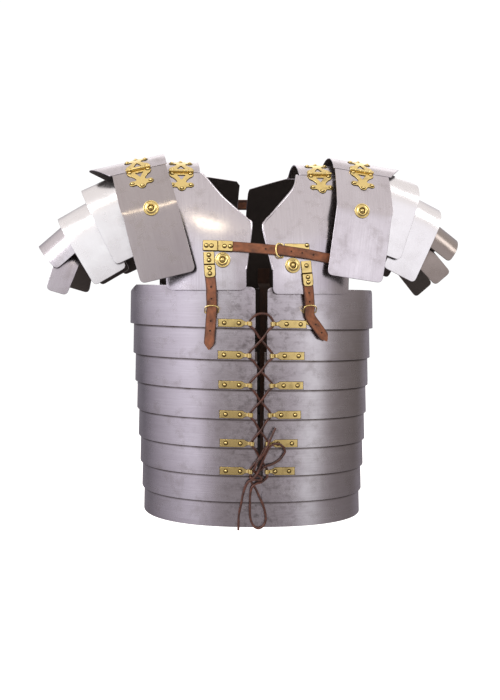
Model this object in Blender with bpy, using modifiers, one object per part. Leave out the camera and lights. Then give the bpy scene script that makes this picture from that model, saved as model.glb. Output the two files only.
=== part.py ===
"""A lorica segmentata: laced steel girth hoops under hinged collar and shoulder plates.

Metres, +Z up, the wearer faces -Y. The origin is where the armour bears on the wearer's shoulders.
The armour keeps its worn form and is hollow, with its neck, hem and both armholes open.
"""
import math

import bmesh
import bpy
import numpy as np
from mathutils import Matrix, Vector

# Sheet and leather
STEEL_WALL = 0.0012
BRASS_WALL = 0.0010
LEATHER = 0.0024
GAP = 0.0003

# Girth
GIRTH_X = 0.003
GIRTH_TURN = 1.4
ROUNDNESS = 2.3
HOOP_LAP = 0.013
HOOP_LEAN = 0.0008
HOOP_COLUMNS = 18
HALF_ROUND = 0.55
ARMPIT_DIP = 0.011
FRONT_CORNER = 0.007
HOOP_1_HEIGHT = 0.063
# bottom edge height, half width, half depth, front edge of the right half, front edge of the left half
HOOPS = [
    {"low": -0.2500, "wide": 0.2035, "deep": 0.1475, "right": -0.0080, "left": 0.0104},
    {"low": -0.2990, "wide": 0.1990, "deep": 0.1450, "right": -0.0086, "left": 0.0098},
    {"low": -0.3450, "wide": 0.1963, "deep": 0.1428, "right": -0.0050, "left": 0.0064},
    {"low": -0.3910, "wide": 0.1938, "deep": 0.1408, "right": -0.0048, "left": 0.0060},
    {"low": -0.4360, "wide": 0.1915, "deep": 0.1390, "right": -0.0040, "left": 0.0052},
    {"low": -0.4800, "wide": 0.1890, "deep": 0.1372, "right": -0.0036, "left": 0.0048},
    {"low": -0.5220, "wide": 0.1862, "deep": 0.1354, "right": -0.0033, "left": 0.0046},
    {"low": -0.5620, "wide": 0.1836, "deep": 0.1338, "right": -0.0032, "left": 0.0046},
]
BACK_EDGE = 0.0055
LEATHER_X = 0.042
LEATHER_HALF = 0.011

# Tie loops: distance of each loop's end from the middle, right side then left side
TIE_ENDS = {-1: [0.0140, 0.0146, 0.0132, 0.0118, 0.0094, 0.0118],
            1: [0.0158, 0.0148, 0.0146, 0.0122, 0.0084, 0.0078]}
TIE_ABOVE_EDGE = 0.0075
# A loop's stations: distance from its end, half height, and the lifts of its inner and outer side
TIE_SHAPE = [(0.0, 0.0031, 0.0041, 0.0066), (0.0062, 0.0031, 0.0041, 0.0066),
             (0.0070, 0.0022, 0.0036, 0.0054), (0.0120, 0.0030, -0.0003, 0.0012),
             (0.0180, 0.0060, -0.0003, 0.0010), (0.0500, 0.0060, -0.0003, 0.0010)]

# Lace: its thickness, its height over the plates behind a loop, and of the two cords where they cross
LACE = 0.0035
LACE_LIFT = 0.0021
CROSS_UNDER = 0.0021
CROSS_OVER = 0.0059
LACE_POINTS = {"lace_front": 84, "lace_back": 52}
# The bow, in mm across and up from the knot and out from the plates
KNOT = (-0.0096, -0.4820)
FREE_END = [(-27, -84, 2.4), (-26, -60, 2.4), (-22.5, -41, 2.6), (-19, -24, 2.6), (-13, -8, 5.4)]
WRAP = [(-4, -2.5, 8.8), (5, -3.5, 7.6), (9, -1.5, 4.6), (5, 2.5, 2.3), (-3, 2.5, 2.1), (-7, -4, 2.1)]
LOWER_LOOP = [(-5, -11, 2.1), (0, -18, 2.2), (5, -29, 2.4), (10.5, -41, 2.6), (15, -55, 2.3), (16, -68, 2.3),
              (12, -77, 2.3), (4, -81, 2.3), (-4, -76, 2.3), (-8.5, -62, 2.3), (-9, -41, 2.6), (-8.5, -27, 2.6),
              (-6, -15, 5.4)]
TO_TIE = [(1, -9, 5.4), (9, -7, 4.6)]
FROM_TIE = [(-9.5, 0.5, 3.6), (-4, 0, 5.4), (1, 6, 5.6)]
SIDE_LOOP = [(5, 14, 5.6), (9.5, 25, 6.0), (17, 44, 9.0), (23, 52, 8.8), (34, 54, 3.6), (42, 49.5, 3.6),
             (44.5, 45, 3.2), (45, 39, 4.2), (37, 28, 2.4), (26, 21.5, 3.0), (18, 19.5, 5.6),
             (12, 16.5, 5.2), (6.5, 11.5, 2.3), (1, 8.5, 2.1)]
STEM = [(-2.5, 9.5, 3.6), (-3, 14, 6.6), (0, 22, 8.8), (5.5, 31, 9.6), (13, 43, 10.8), (21, 61, 10.0),
        (30, 79, 6.5)]

# Shoulder plates: x, y and z of the inner crest corner, its lean in degrees
COLLAR = {-1: (0.088, 0.004, 0.0200), 1: (0.074, 0.004, 0.0190)}
GUARD = {-1: (0.1454, -0.004, 0.0320, 13.5), 1: (0.1320, -0.005, 0.0300, 8.5)}
COLLAR_FRONT = [(0.0716, 41), (0.0600, 47), (0.0800, 76), (0.0840, 88)]
BREAST_END = {-1: 0.2884, 1: 0.2935}
COLLAR_BACK = [(0.0540, 30), (0.0880, 54), (0.0550, 80), (0.0900, 84)]
GUARD_FRONT = [(0.0700, 42), (0.0840, 50), (0.0140, 80), (0.1040, 83)]
GUARD_BACK = [(0.0720, 33), (0.0940, 48), (0.0140, 80), (0.0900, 83)]
CHEST_ROUND = 0.19
PLATE_OUTER = 0.152
# Neckline: distance below the hinge joint and the inner edge's distance from the middle
BREAST_NECK = {-1: [(0.0, 0.0840), (0.055, 0.0575), (0.085, 0.0360), (0.110, 0.0135), (0.118, 0.0125),
                    (0.150, 0.0165), (0.185, 0.0225)],
               1: [(0.0, 0.0690), (0.030, 0.0620), (0.055, 0.0480), (0.090, 0.0230), (0.112, 0.0050),
                   (0.122, 0.0050), (0.150, 0.0120), (0.185, 0.0180)]}
BACK_NECK = {-1: [(0.0015, 0.066), (0.012, 0.016), (0.022, 0.010)],
             1: [(0.0015, 0.070), (0.012, 0.047), (0.030, 0.008), (0.040, 0.006)]}
BACK_ROWS = [0.0015, 0.012, 0.022, 0.030, 0.040, 0.070, 0.100, 0.140, 0.180]
COLLAR_HINGE_X = {-1: 0.117, 1: 0.106}
BACK_HINGE_X = 0.106
# Upper guards: width at the top and at the lower ends, and how far the top plate flares out
GUARD_WIDTH = {-1: {"top": 0.092, "low": 0.084, "flare": 0.032},
               1: {"top": 0.096, "low": 0.087, "flare": 0.026}}
GUARD_HINGE_X = 0.046

# Lesser guards: outer crest corner, lean, width at front end, crest and back end,
# drop of the front and back ends below the crest, and the arch's run to its bend
LAMES = {
    -1: [
        {"x": 0.2787, "z": -0.0291, "lean": 25.3, "front": 0.060, "crest": 0.062, "back": 0.060,
         "drop_f": 0.1365, "drop_b": 0.1500, "run": 0.078},
        {"x": 0.3172, "z": -0.0753, "lean": 30.3, "front": 0.058, "crest": 0.060, "back": 0.058,
         "drop_f": 0.1266, "drop_b": 0.1250, "run": 0.071},
        {"x": 0.3484, "z": -0.1196, "lean": 41.0, "front": 0.050, "crest": 0.055, "back": 0.050,
         "drop_f": 0.0525, "drop_b": 0.0525, "run": 0.064},
        {"x": 0.3040, "z": -0.1040, "lean": -17.0, "front": 0.033, "crest": 0.045, "back": 0.055,
         "drop_f": 0.0900, "drop_b": 0.0800, "run": 0.054},
    ],
    1: [
        {"x": 0.2807, "z": -0.0097, "lean": 19.5, "front": 0.060, "crest": 0.062, "back": 0.060,
         "drop_f": 0.1420, "drop_b": 0.1380, "run": 0.078},
        {"x": 0.3222, "z": -0.0527, "lean": 26.5, "front": 0.058, "crest": 0.060, "back": 0.058,
         "drop_f": 0.1420, "drop_b": 0.1300, "run": 0.071},
        {"x": 0.3555, "z": -0.1040, "lean": 37.0, "front": 0.048, "crest": 0.055, "back": 0.048,
         "drop_f": 0.0517, "drop_b": 0.0517, "run": 0.064},
        {"x": 0.2706, "z": -0.0925, "lean": -40.0, "front": 0.034, "crest": 0.042, "back": 0.040,
         "drop_f": 0.0900, "drop_b": 0.1120, "run": 0.052},
    ],
}
LAME_Y = 0.002
LAME_CORNER = 0.008
PLATE_CORNER = 0.009

# Straps, rings and bosses
CHEST_STRAP_HALF = 0.0074
HANGING_STRAP_HALF = 0.0078
STRAP_STEP = 0.012
SEAT = 0.0007
RING_WIRE = 0.0020
BAR_LIFT = 0.0014
ARC_LIFT = 0.0056
RING_X = {"chest": 0.0295, "right": -0.0751, "left": 0.0762}
RING_Z = {"chest": -0.1322, "right": -0.2215, "left": -0.2215}
BOSS_RADIUS = 0.0118
# Radius and height along a boss's section, from the rivet's top to the middle of its back
BOSS_PROFILE = [(0.0, 0.0034), (0.0016, 0.0032), (0.0026, 0.0016), (0.0042, 0.0012), (0.0054, 0.0024),
                (0.0070, 0.0024), (0.0082, 0.0013), (0.0112, 0.0011), (BOSS_RADIUS, 0.0006),
                (BOSS_RADIUS, 0.0), (0.0, 0.0)]
BOSS_CHEST = {-1: (-0.0580, -0.1461), 1: (0.0490, -0.1541)}
BOSS_GUARD_DOWN = {-1: 0.1640, 1: 0.1650}
# Middle lines of the straps on the front: x and z
CHEST_LINE = [(-0.0875, -0.1245), (-0.0426, -0.1262), (0.0275, -0.1316), (0.0700, -0.1368), (0.1160, -0.1445)]
HANGING_LINE = {"right": [(-0.0786, -0.1340), (-0.0775, -0.1640), (-0.0756, -0.1873), (-0.0755, -0.1990),
                          (-0.0750, -0.2227), (-0.0786, -0.2710)],
                "left": [(0.0697, -0.1472), (0.0712, -0.1640), (0.0743, -0.1990), (0.0760, -0.2180),
                         (0.0763, -0.2310), (0.0880, -0.2470), (0.1015, -0.2650)]}
HANGING_TIP = {"right": (-0.0794, -0.2830), "left": (0.1053, -0.2715)}
# A hanging strap leaves the breastplate and comes to lie on the first hoop at these heights
STRAP_LEAVES = -0.1995
STRAP_LANDS = -0.2360
CREST_SAG = 0.0007

# Hinges: half of the leaf's outline, across and away from the knuckle
LEAF = [(0.0190, 0.0), (0.0190, 0.009), (0.0120, 0.0165), (0.0075, 0.0235), (0.0080, 0.0285),
        (0.0130, 0.0275), (0.0180, 0.0310), (0.0185, 0.0355), (0.0150, 0.0390), (0.0090, 0.0378),
        (0.0062, 0.0395), (0.0055, 0.0435), (0.0, 0.0465)]
LEAF_HOLE = [(-0.0065, 0.0085), (0.0065, 0.0085), (0.0, 0.0165)]
KNUCKLE = 0.0024

STEEL = (0.62, 0.61, 0.63)
BRASS = (0.72, 0.52, 0.17)
LEATHER_BROWN = (0.25, 0.09, 0.04)
LACE_BROWN = (0.10, 0.04, 0.03)

SIDES = {-1: "right", 1: "left"}


def clear_scene():
    for obj in list(bpy.data.objects):
        bpy.data.objects.remove(obj, do_unlink=True)
    for name in ("LoricaSegmentata", "Cutters"):
        old = bpy.data.collections.get(name)
        if old:
            bpy.data.collections.remove(old)


def collection(name):
    made = bpy.data.collections.new(name)
    bpy.context.scene.collection.children.link(made)
    return made


def finish(name, colour, metallic, roughness):
    made = bpy.data.materials.new(name)
    made.use_nodes = True
    shader = made.node_tree.nodes["Principled BSDF"]
    shader.inputs["Base Color"].default_value = (*colour, 1)
    shader.inputs["Metallic"].default_value = metallic
    shader.inputs["Roughness"].default_value = roughness
    return made


clear_scene()
PARTS = collection("LoricaSegmentata")
CUTTERS = collection("Cutters")
STEEL_FINISH = finish("BrushedSteel", STEEL, 1.0, 0.32)
BRASS_FINISH = finish("PolishedBrass", BRASS, 1.0, 0.25)
LEATHER_FINISH = finish("BrownLeather", LEATHER_BROWN, 0.0, 0.6)
LACE_FINISH = finish("LaceLeather", LACE_BROWN, 0.0, 0.55)


def add_object(name, mesh, material, group=None):
    obj = bpy.data.objects.new(name, mesh)
    (group or PARTS).objects.link(obj)
    mesh.materials.append(material)
    if group == CUTTERS:
        obj.hide_render = True
        obj.display_type = "WIRE"
    return obj


def sheet(name, rows, wall, material, away_from, group=None):
    """A wall of even thickness whose outer side is a grid of points."""
    wide = len(rows[0])
    faces = [(r * wide + c, r * wide + c + 1, (r + 1) * wide + c + 1, (r + 1) * wide + c)
             for r in range(len(rows) - 1) for c in range(wide - 1)]
    mesh = bpy.data.meshes.new(name)
    mesh.from_pydata([p for row in rows for p in row], [], faces)
    outward = sum((f.center - Vector(away_from)).dot(f.normal) * f.area for f in mesh.polygons)
    if outward < 0:
        mesh.flip_normals()
    obj = add_object(name, mesh, material, group)
    shell = obj.modifiers.new("Wall", "SOLIDIFY")
    shell.thickness = wall
    shell.offset = -1
    shell.use_even_offset = True
    mesh.shade_smooth()
    mesh.set_sharp_from_angle(angle=math.radians(35))
    return obj


def loft(name, sections, material, group=None):
    """A closed body through loops of equal length, with a face at each end."""
    around = len(sections[0])
    faces = [(k * around + i, k * around + (i + 1) % around,
              (k + 1) * around + (i + 1) % around, (k + 1) * around + i)
             for k in range(len(sections) - 1) for i in range(around)]
    faces += [tuple(range(around)), tuple(range((len(sections) - 1) * around, len(sections) * around))]
    mesh = bpy.data.meshes.new(name)
    mesh.from_pydata([p for loop in sections for p in loop], [], faces)
    shape = bmesh.new()
    shape.from_mesh(mesh)
    bmesh.ops.recalc_face_normals(shape, faces=shape.faces)
    shape.to_mesh(mesh)
    shape.free()
    return add_object(name, mesh, material, group)


def ribbon(name, stations, material, group=None):
    """A strap through stations of its two side points and its thickness vector."""
    return loft(name, [[a, b, b + t, a + t] for a, b, t in stations], material, group)


def as_mesh(obj, weld=0.00005):
    """Turns an object into the mesh that its curve and modifiers give, with its caps welded."""
    graph = bpy.context.evaluated_depsgraph_get()
    mesh = bpy.data.meshes.new_from_object(obj.evaluated_get(graph))
    shape = bmesh.new()
    shape.from_mesh(mesh)
    bmesh.ops.remove_doubles(shape, verts=shape.verts, dist=weld)
    bmesh.ops.recalc_face_normals(shape, faces=shape.faces)
    shape.to_mesh(mesh)
    shape.free()
    made = bpy.data.objects.new(obj.name, mesh)
    for group in obj.users_collection:
        group.objects.link(made)
    made.matrix_world = obj.matrix_world
    made.hide_render = obj.hide_render
    made.display_type = obj.display_type
    name = obj.name
    bpy.data.objects.remove(obj, do_unlink=True)
    made.name = name
    return made


def join(obj, others, operation="UNION"):
    for n, other in enumerate(others):
        step = obj.modifiers.new(f"{operation.title()}{n}", "BOOLEAN")
        step.operation = operation
        step.solver = "EXACT"
        step.object = other
    return obj


def tube(name, points, thick, material, cyclic=False, sides=2, group=None):
    """A round cord or wire through points."""
    curve = bpy.data.curves.new(name, "CURVE")
    curve.dimensions = "3D"
    curve.bevel_depth = thick / 2
    curve.bevel_resolution = sides
    curve.use_fill_caps = True
    line = curve.splines.new("POLY")
    line.points.add(len(points) - 1)
    line.use_cyclic_u = cyclic
    for point, place in zip(line.points, points):
        point.co = (*place, 1)
    obj = bpy.data.objects.new(name, curve)
    (group or PARTS).objects.link(obj)
    curve.materials.append(material)
    if group == CUTTERS:
        obj.hide_render = True
        obj.display_type = "WIRE"
    return obj


def smooth_line(points, count, bends=0.0):
    """Points on a smooth curve through the given ones, nearer together where it turns when bends is set."""
    p = np.array([tuple(v) for v in points])
    ends = np.vstack([2 * p[0] - p[1], p, 2 * p[-1] - p[-2]])
    fine = []
    for a, b, c, d in zip(ends, ends[1:], ends[2:], ends[3:]):
        for t in np.linspace(0, 1, 24, endpoint=False):
            fine.append(0.5 * (2 * b + (c - a) * t + (2 * a - 5 * b + 4 * c - d) * t ** 2
                               + (3 * b - a - 3 * c + d) * t ** 3))
    fine = np.array(fine + [p[-1]])
    steps = np.diff(fine, axis=0)
    lengths = np.linalg.norm(steps, axis=1)
    ways = steps / lengths[:, None]
    turns = np.arccos(np.clip((ways[1:] * ways[:-1]).sum(axis=1), -1, 1))
    weight = lengths + bends * np.concatenate([[0], turns])
    far = np.concatenate([[0], np.cumsum(weight)])
    at = np.linspace(0, far[-1], count)
    return [Vector((np.interp(s, far, fine[:, 0]), np.interp(s, far, fine[:, 1]),
                    np.interp(s, far, fine[:, 2]))) for s in at]


def corner_cut(distance, radius):
    """How far a rounded corner draws an end back, this far from the side edge."""
    inside = radius - min(radius, max(0.0, distance))
    return radius - math.sqrt(radius ** 2 - inside ** 2)


# Girth

GIRTH_POSE = Matrix.Translation((GIRTH_X, 0, 0)) @ Matrix(
    ((1, 0, 0, 0), (0, 1, 0, 0), (-math.tan(math.radians(GIRTH_TURN)), 0, 1, 0), (0, 0, 0, 1)))


def hoop_top(i):
    return HOOPS[i - 1]["low"] + HOOP_LAP if i else HOOPS[0]["low"] + HOOP_1_HEIGHT


def hoop_size(i, z):
    """Half width and half depth of a hoop's outer side at a height; it flares a little downward."""
    low = HOOPS[i]["low"]
    lean = HOOP_LEAN * (1 - 2 * (z - low) / (hoop_top(i) - low))
    return HOOPS[i]["wide"] + lean, HOOPS[i]["deep"] + lean


def around(wide, deep, angle):
    """A point on the girth's rounded section; angle runs from front, -90, to back, 90."""
    c, s = math.cos(angle), math.sin(angle)
    power = 2 / ROUNDNESS
    return wide * abs(c) ** power, deep * math.copysign(abs(s) ** power, s)


def edge_angle(wide, x):
    return math.acos((abs(x) / wide) ** (ROUNDNESS / 2))


def girth_y(i, x, z, lift=0.0, back=False):
    """The outer side's y at x, before the girth's small turn."""
    wide, deep = hoop_size(i, z)
    y = deep * max(0.0, 1 - min(1.0, abs(x) / wide) ** ROUNDNESS) ** (1 / ROUNDNESS) + lift
    return y if back else -y


def girth_point(i, x, z, lift=0.0, back=False):
    return GIRTH_POSE @ Vector((x, girth_y(i, x, z, lift, back), z))


def hoop_rows(i, side):
    low, top = HOOPS[i]["low"], hoop_top(i)
    front = HOOPS[i]["left" if side > 0 else "right"] - GIRTH_X
    rows = []
    for part in (1.0, 0.66, 0.0):
        z_row = low + (top - low) * part
        wide, deep = hoop_size(i, z_row)
        start = -edge_angle(wide, front)
        end = edge_angle(wide, BACK_EDGE)
        shares = [0, 0.012, 0.03] + [k / HOOP_COLUMNS for k in range(1, HOOP_COLUMNS)] + [0.97, 0.988, 1]
        if i:
            shares = [k / HOOP_COLUMNS for k in range(HOOP_COLUMNS + 1)]
        row = []
        for share in shares:
            angle = start + (end - start) * share
            x, y = around(wide, deep, angle)
            z = z_row
            if i == 0 and part == 1.0:
                from_edge = min(share, 1 - share) * HALF_ROUND
                z -= corner_cut(from_edge, FRONT_CORNER)
                z -= ARMPIT_DIP * max(0.0, 1 - (y / 0.055) ** 2)
            row.append(GIRTH_POSE @ Vector((side * x, y, z)))
        rows.append(row)
    return rows


def tie_loop(name, i, side, back=False):
    """A brass strip on the hoop whose narrow end stands off and is rolled into a loop."""
    end = TIE_ENDS[side][i] - side * GIRTH_X if not back else TIE_ENDS[1][i] + 0.001
    middle = HOOPS[i]["low"] + TIE_ABOVE_EDGE
    sections = []
    for away, half, inner, outer in TIE_SHAPE:
        x = side * (end + away)
        sections.append([girth_point(i, x, middle + h, lift, back)
                         for h, lift in ((-half, inner), (half, inner), (half, outer), (-half, outer))])
    return loft(name, sections, BRASS_FINISH, CUTTERS)


def tie_spot(i, side, back):
    """The middle of a loop's rolled end, in the girth's own x and z."""
    end = TIE_ENDS[1][i] + 0.001 if back else TIE_ENDS[side][i] - side * GIRTH_X
    return side * (end + 0.0031), HOOPS[i]["low"] + TIE_ABOVE_EDGE


def lace_crossing(i, side, lift, back):
    """From the upper loop on one side to the next lower one on the other side."""
    (x_0, z_0), (x_1, z_1) = tie_spot(i, side, back), tie_spot(i + 1, -side, back)
    edge = HOOPS[i]["low"] - 0.0012
    share = (z_0 - edge) / (z_0 - z_1)
    return [girth_point(i, x_0, z_0 + 0.0040, LACE_LIFT, back),
            girth_point(i, x_0, z_0 - 0.0035, LACE_LIFT, back),
            girth_point(i, x_0 + (x_1 - x_0) * share, edge, LACE_LIFT + 0.0004, back),
            girth_point(i + 1, (x_0 + x_1) / 2, (z_0 + z_1) / 2, lift, back)]


def lace_climb(side, lifts, back):
    """Upward through six loops, crossing each time; side is that of the lowest loop."""
    x, z = tie_spot(5, side, back)
    climb = [girth_point(5, x, HOOPS[5]["low"] - 0.0012, LACE_LIFT + 0.0004, back),
             girth_point(5, x, z - 0.0035, LACE_LIFT, back), girth_point(5, x, z + 0.0040, LACE_LIFT, back)]
    for i in range(4, -1, -1):
        side = -side
        climb += reversed(lace_crossing(i, side, lifts[i % 2], back))
    return climb


def bow_points(table):
    """Points of the bow on the hoop that is outermost at their height."""
    out = []
    for across, up, lift in table:
        x, z = KNOT[0] + across / 1000, KNOT[1] + up / 1000
        i = next((k for k, hoop in enumerate(HOOPS) if z >= hoop["low"] - 0.004), len(HOOPS) - 1)
        out.append(girth_point(i, x, z, lift / 1000))
    return out


def lace_points(back):
    """The whole lace: up through the loops on one course, over the top, and down on the other."""
    up = lace_climb(1, (CROSS_UNDER, CROSS_OVER), back)
    down = lace_climb(-1, (CROSS_OVER, CROSS_UNDER), back)[::-1]
    z = HOOPS[0]["low"] + TIE_ABOVE_EDGE
    over = [girth_point(0, x, z + rise, LACE_LIFT + 0.0004, back)
            for x, rise in ((-0.0130, 0.0115), (-0.0060, 0.0150), (0.0050, 0.0150), (0.0110, 0.0115))]
    if back:
        ends = [[girth_point(7, way * 0.031, -0.548, LACE_LIFT, True),
                 girth_point(6, way * 0.025, HOOPS[6]["low"] - 0.0012, LACE_LIFT + 0.0009, True),
                 girth_point(6, way * 0.019, -0.500, LACE_LIFT + 0.0003, True)] for way in (1, -1)]
        return ends[0] + up + over + down + ends[1][::-1]
    return (bow_points(FREE_END + WRAP + LOWER_LOOP + TO_TIE) + up + over + down
            + bow_points(FROM_TIE + SIDE_LOOP + STEM))


def make_laces():
    for name, back in (("lace_front", False), ("lace_back", True)):
        tube(name, smooth_line(lace_points(back), LACE_POINTS[name], 0.05), LACE, LACE_FINISH)


def make_girth():
    for side, label in SIDES.items():
        for i in range(len(HOOPS)):
            hoop = sheet(f"girth_hoop_{label}_{i + 1}", hoop_rows(i, side), STEEL_WALL, STEEL_FINISH,
                         (0, 0, -0.37))
            if i < 6:
                join(hoop, [tie_loop(f"tie_{label}_{i + 1}", i, side),
                            tie_loop(f"back_tie_{label}_{i + 1}", i, side, True)])


def make_girth_leathers():
    """Inside straps that carry the hoops: they touch each hoop's top margin."""
    for side, label in SIDES.items():
        for back in (False, True):
            inward = Vector((0, -LEATHER if back else LEATHER, 0))
            edges = (LEATHER_X - LEATHER_HALF, LEATHER_X + LEATHER_HALF)
            stations = []
            if back:
                band = collar_band(side)
                for z in (-0.150, -0.165, -0.178):
                    stations.append([band.chest(x, z, -STEEL_WALL - 2 * GAP, True) for x in edges] + [inward])
            for i in range(len(HOOPS)):
                z = hoop_top(i) + 0.001
                stations.append([girth_point(i, side * x, z, -STEEL_WALL - 2 * GAP, back) for x in edges]
                                + [inward])
            low, lift = HOOPS[7]["low"] + 0.012, -STEEL_WALL - 0.0016
            stations.append([girth_point(7, side * x, low, lift, back) for x in edges] + [inward])
            ribbon(f"girth_leather_{'back' if back else 'front'}_{label}", stations, LEATHER_FINISH)


# Shoulder plates

class Band:
    """A run of bent plate over the shoulder: a side profile carried along a leaning width."""

    def __init__(self, side, corner, lean, front, back):
        a = math.radians(lean)
        self.side = side
        self.out = Vector((side * math.cos(a), 0, -math.sin(a)))
        self.up = Vector((side * math.sin(a), 0, math.cos(a)))
        self.corner = Vector((side * corner[0], corner[1], corner[2]))
        halves = [self.run(table, way) for table, way in ((front, -1), (back, 1))]
        ahead, behind = halves
        self.line = np.vstack([ahead[::-1], behind[1:]])
        self.bend_in = None

    @staticmethod
    def run(table, way, step=0.001):
        """Rows of arc length, y, height and slope, from the crest to one end."""
        rows = [(0.0, 0.0, 0.0, 0.0)]
        slope = 0.0
        for length, end in table:
            count = max(1, round(length / step))
            for k in range(count):
                s, y, w, _ = rows[-1]
                angle = math.radians(slope + (end - slope) * (k + 0.5) / count)
                ds = length / count
                rows.append((s + way * ds, y + way * math.cos(angle) * ds, w - math.sin(angle) * ds,
                             -way * math.radians(slope + (end - slope) * (k + 1) / count)))
            slope = end
        return np.array(rows)

    def point(self, across, along, lift=0.0):
        """A point this far out from the inner crest corner and along the profile, raised by lift."""
        s = self.line[:, 0]
        y, w, slope = (float(np.interp(along, s, self.line[:, k])) for k in (1, 2, 3))
        y -= math.sin(slope) * lift
        w += math.cos(slope) * lift
        place = self.corner + self.out * across + self.up * w + Vector((0, y, 0))
        if self.bend_in:
            place.y += self.bend_in(abs(place.x), along)
        return place

    def normal(self, along):
        slope = float(np.interp(along, self.line[:, 0], self.line[:, 3]))
        return self.up * math.cos(slope) + Vector((0, -math.sin(slope), 0))

    def along_at(self, z, back):
        """Where the profile is at a height; the band doesn't lean."""
        line = self.line[self.line[:, 0] >= 0] if back else self.line[self.line[:, 0] <= 0][::-1]
        return float(np.interp(self.corner.z - z, -line[:, 2], line[:, 0]))

    def chest(self, x, z, lift, back=False):
        return self.point(x - abs(self.corner.x), self.along_at(z, back), lift)


def length_of(table, count):
    return sum(row[0] for row in table[:count])


def collar_band(side):
    band = Band(side, COLLAR[side], 0, COLLAR_FRONT, COLLAR_BACK)

    def follow_chest(x, along):
        hinge = COLLAR_FRONT[0][0] if along < 0 else COLLAR_BACK[0][0]
        share = min(1.0, max(0.0, (abs(along) - hinge) / CHEST_ROUND))
        far = min(0.95, abs(x) / HOOPS[0]["wide"])
        inward = HOOPS[0]["deep"] * (1 - (1 - far ** ROUNDNESS) ** (1 / ROUNDNESS)) * share
        return inward if along < 0 else -inward

    band.bend_in = follow_chest
    return band


def guard_band(side):
    x, y, z, lean = GUARD[side]
    return Band(side, (x, y, z), lean, GUARD_FRONT, GUARD_BACK)


def plate_rows(band, stations, columns, corner=0.0):
    """Rows from a table of along, inner edge and outer edge; the last row has rounded corners."""
    rows = []
    for n, (along, inner, outer) in enumerate(stations):
        row = []
        for share in columns:
            across = inner + (outer - inner) * share
            cut = 0.0
            if n == len(stations) - 1 and corner:
                cut = corner_cut(min(across - inner, outer - across), corner) * (1 if along < 0 else -1)
            row.append(band.point(across, along + cut))
        rows.append(row)
    return rows


def columns_for(width, corner, middle):
    edge = [0, 0.1 * corner / width, 0.4 * corner / width, corner / width]
    between = [edge[-1] + (1 - 2 * edge[-1]) * k / middle for k in range(1, middle)]
    return edge + between + [1 - e for e in reversed(edge)]


def spread(start, end, count):
    return [start + (end - start) * k / count for k in range(count + 1)]


def make_guards():
    """The upper guard on each shoulder: a front plate, a flared top plate and a back plate."""
    columns = columns_for(0.09, PLATE_CORNER, 3)
    for side, label in SIDES.items():
        band = guard_band(side)
        middle = band.corner + band.out * 0.045 - band.up * 0.12
        top, low, flare = GUARD_WIDTH[side].values()
        hinge, bend, end = (length_of(GUARD_FRONT, k) for k in (1, 2, 4))
        stations = [(-s, 0.002, top - 0.004) for s in spread(hinge + 0.0015, bend, 3)]
        stations += [(-bend - 0.007, 0.002, top - 0.005), (-bend - 0.014, 0.002, top - 0.006),
                     (-(bend + end) / 2, 0.001, (top + low) / 2 - 0.002),
                     (-end + 0.012, 0.0, low + 0.0005), (-end, 0.0, low)]
        rows = plate_rows(band, stations, columns, PLATE_CORNER)
        sheet(f"upper_guard_front_{label}", rows, STEEL_WALL, STEEL_FINISH, middle)

        back_hinge, back_bend, back_end = (length_of(GUARD_BACK, k) for k in (1, 2, 4))
        stations = [(s, 0.002, top - 0.004) for s in spread(back_hinge + 0.0015, back_bend, 3)]
        stations += [(back_bend + 0.007, 0.002, top - 0.005), (back_bend + 0.014, 0.002, top - 0.006),
                     (back_end - 0.012, 0.0, low), (back_end, 0.0, low)]
        rows = plate_rows(band, stations, columns, PLATE_CORNER)
        plate = sheet(f"upper_guard_back_{label}", rows, STEEL_WALL, STEEL_FINISH, middle)
        join(plate, [back_hinge_bars(f"guard_back_hinge_{label}", band, back_hinge, GUARD_HINGE_X)])

        along = spread(-hinge + 0.0015, back_hinge - 0.0015, 8)
        stations = [(s, -0.002 * (1 - abs(t)), top + flare * (1 - abs(t) ** 1.6))
                    for s, t in zip(along, spread(-1, 1, 8))]
        rows = plate_rows(band, stations, spread(0, 1, 4))
        sheet(f"upper_guard_top_{label}", rows, STEEL_WALL, STEEL_FINISH, middle)
        make_hinge(f"guard_hinge_{label}", band, -hinge, GUARD_HINGE_X)


def back_hinge_bars(name, band, at, across):
    """A plain hinge behind: two short leaves and the knuckle between them, set into the back plate."""
    sections = []
    leaf = [(s, GAP, GAP + BRASS_WALL) for s in (-0.030, -0.023, -0.016, -0.009, -0.003)]
    seat = [(s, -0.0004, BRASS_WALL) for s in (0.003, 0.012, 0.021, 0.030)]
    for s, low, high in leaf + [(-0.002, GAP, 0.0040), (0.002, GAP, 0.0040)] + seat:
        sections.append([band.point(across - 0.016, at + s, low), band.point(across + 0.016, at + s, low),
                         band.point(across + 0.016, at + s, high), band.point(across - 0.016, at + s, high)])
    return loft(name, sections, BRASS_FINISH, CUTTERS)


def flat_outline(name, outline, holes, thick, material):
    """A flat plate with the outline of a 2D curve, as a mesh."""
    curve = bpy.data.curves.new(name, "CURVE")
    curve.dimensions = "2D"
    curve.fill_mode = "BOTH"
    curve.extrude = thick / 2
    for loop in [outline] + holes:
        line = curve.splines.new("POLY")
        line.points.add(len(loop) - 1)
        line.use_cyclic_u = True
        for point, place in zip(line.points, loop):
            point.co = (*place, 0, 1)
    obj = bpy.data.objects.new(name, curve)
    CUTTERS.objects.link(obj)
    curve.materials.append(material)
    obj.hide_render = True
    obj.display_type = "WIRE"
    return obj


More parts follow.
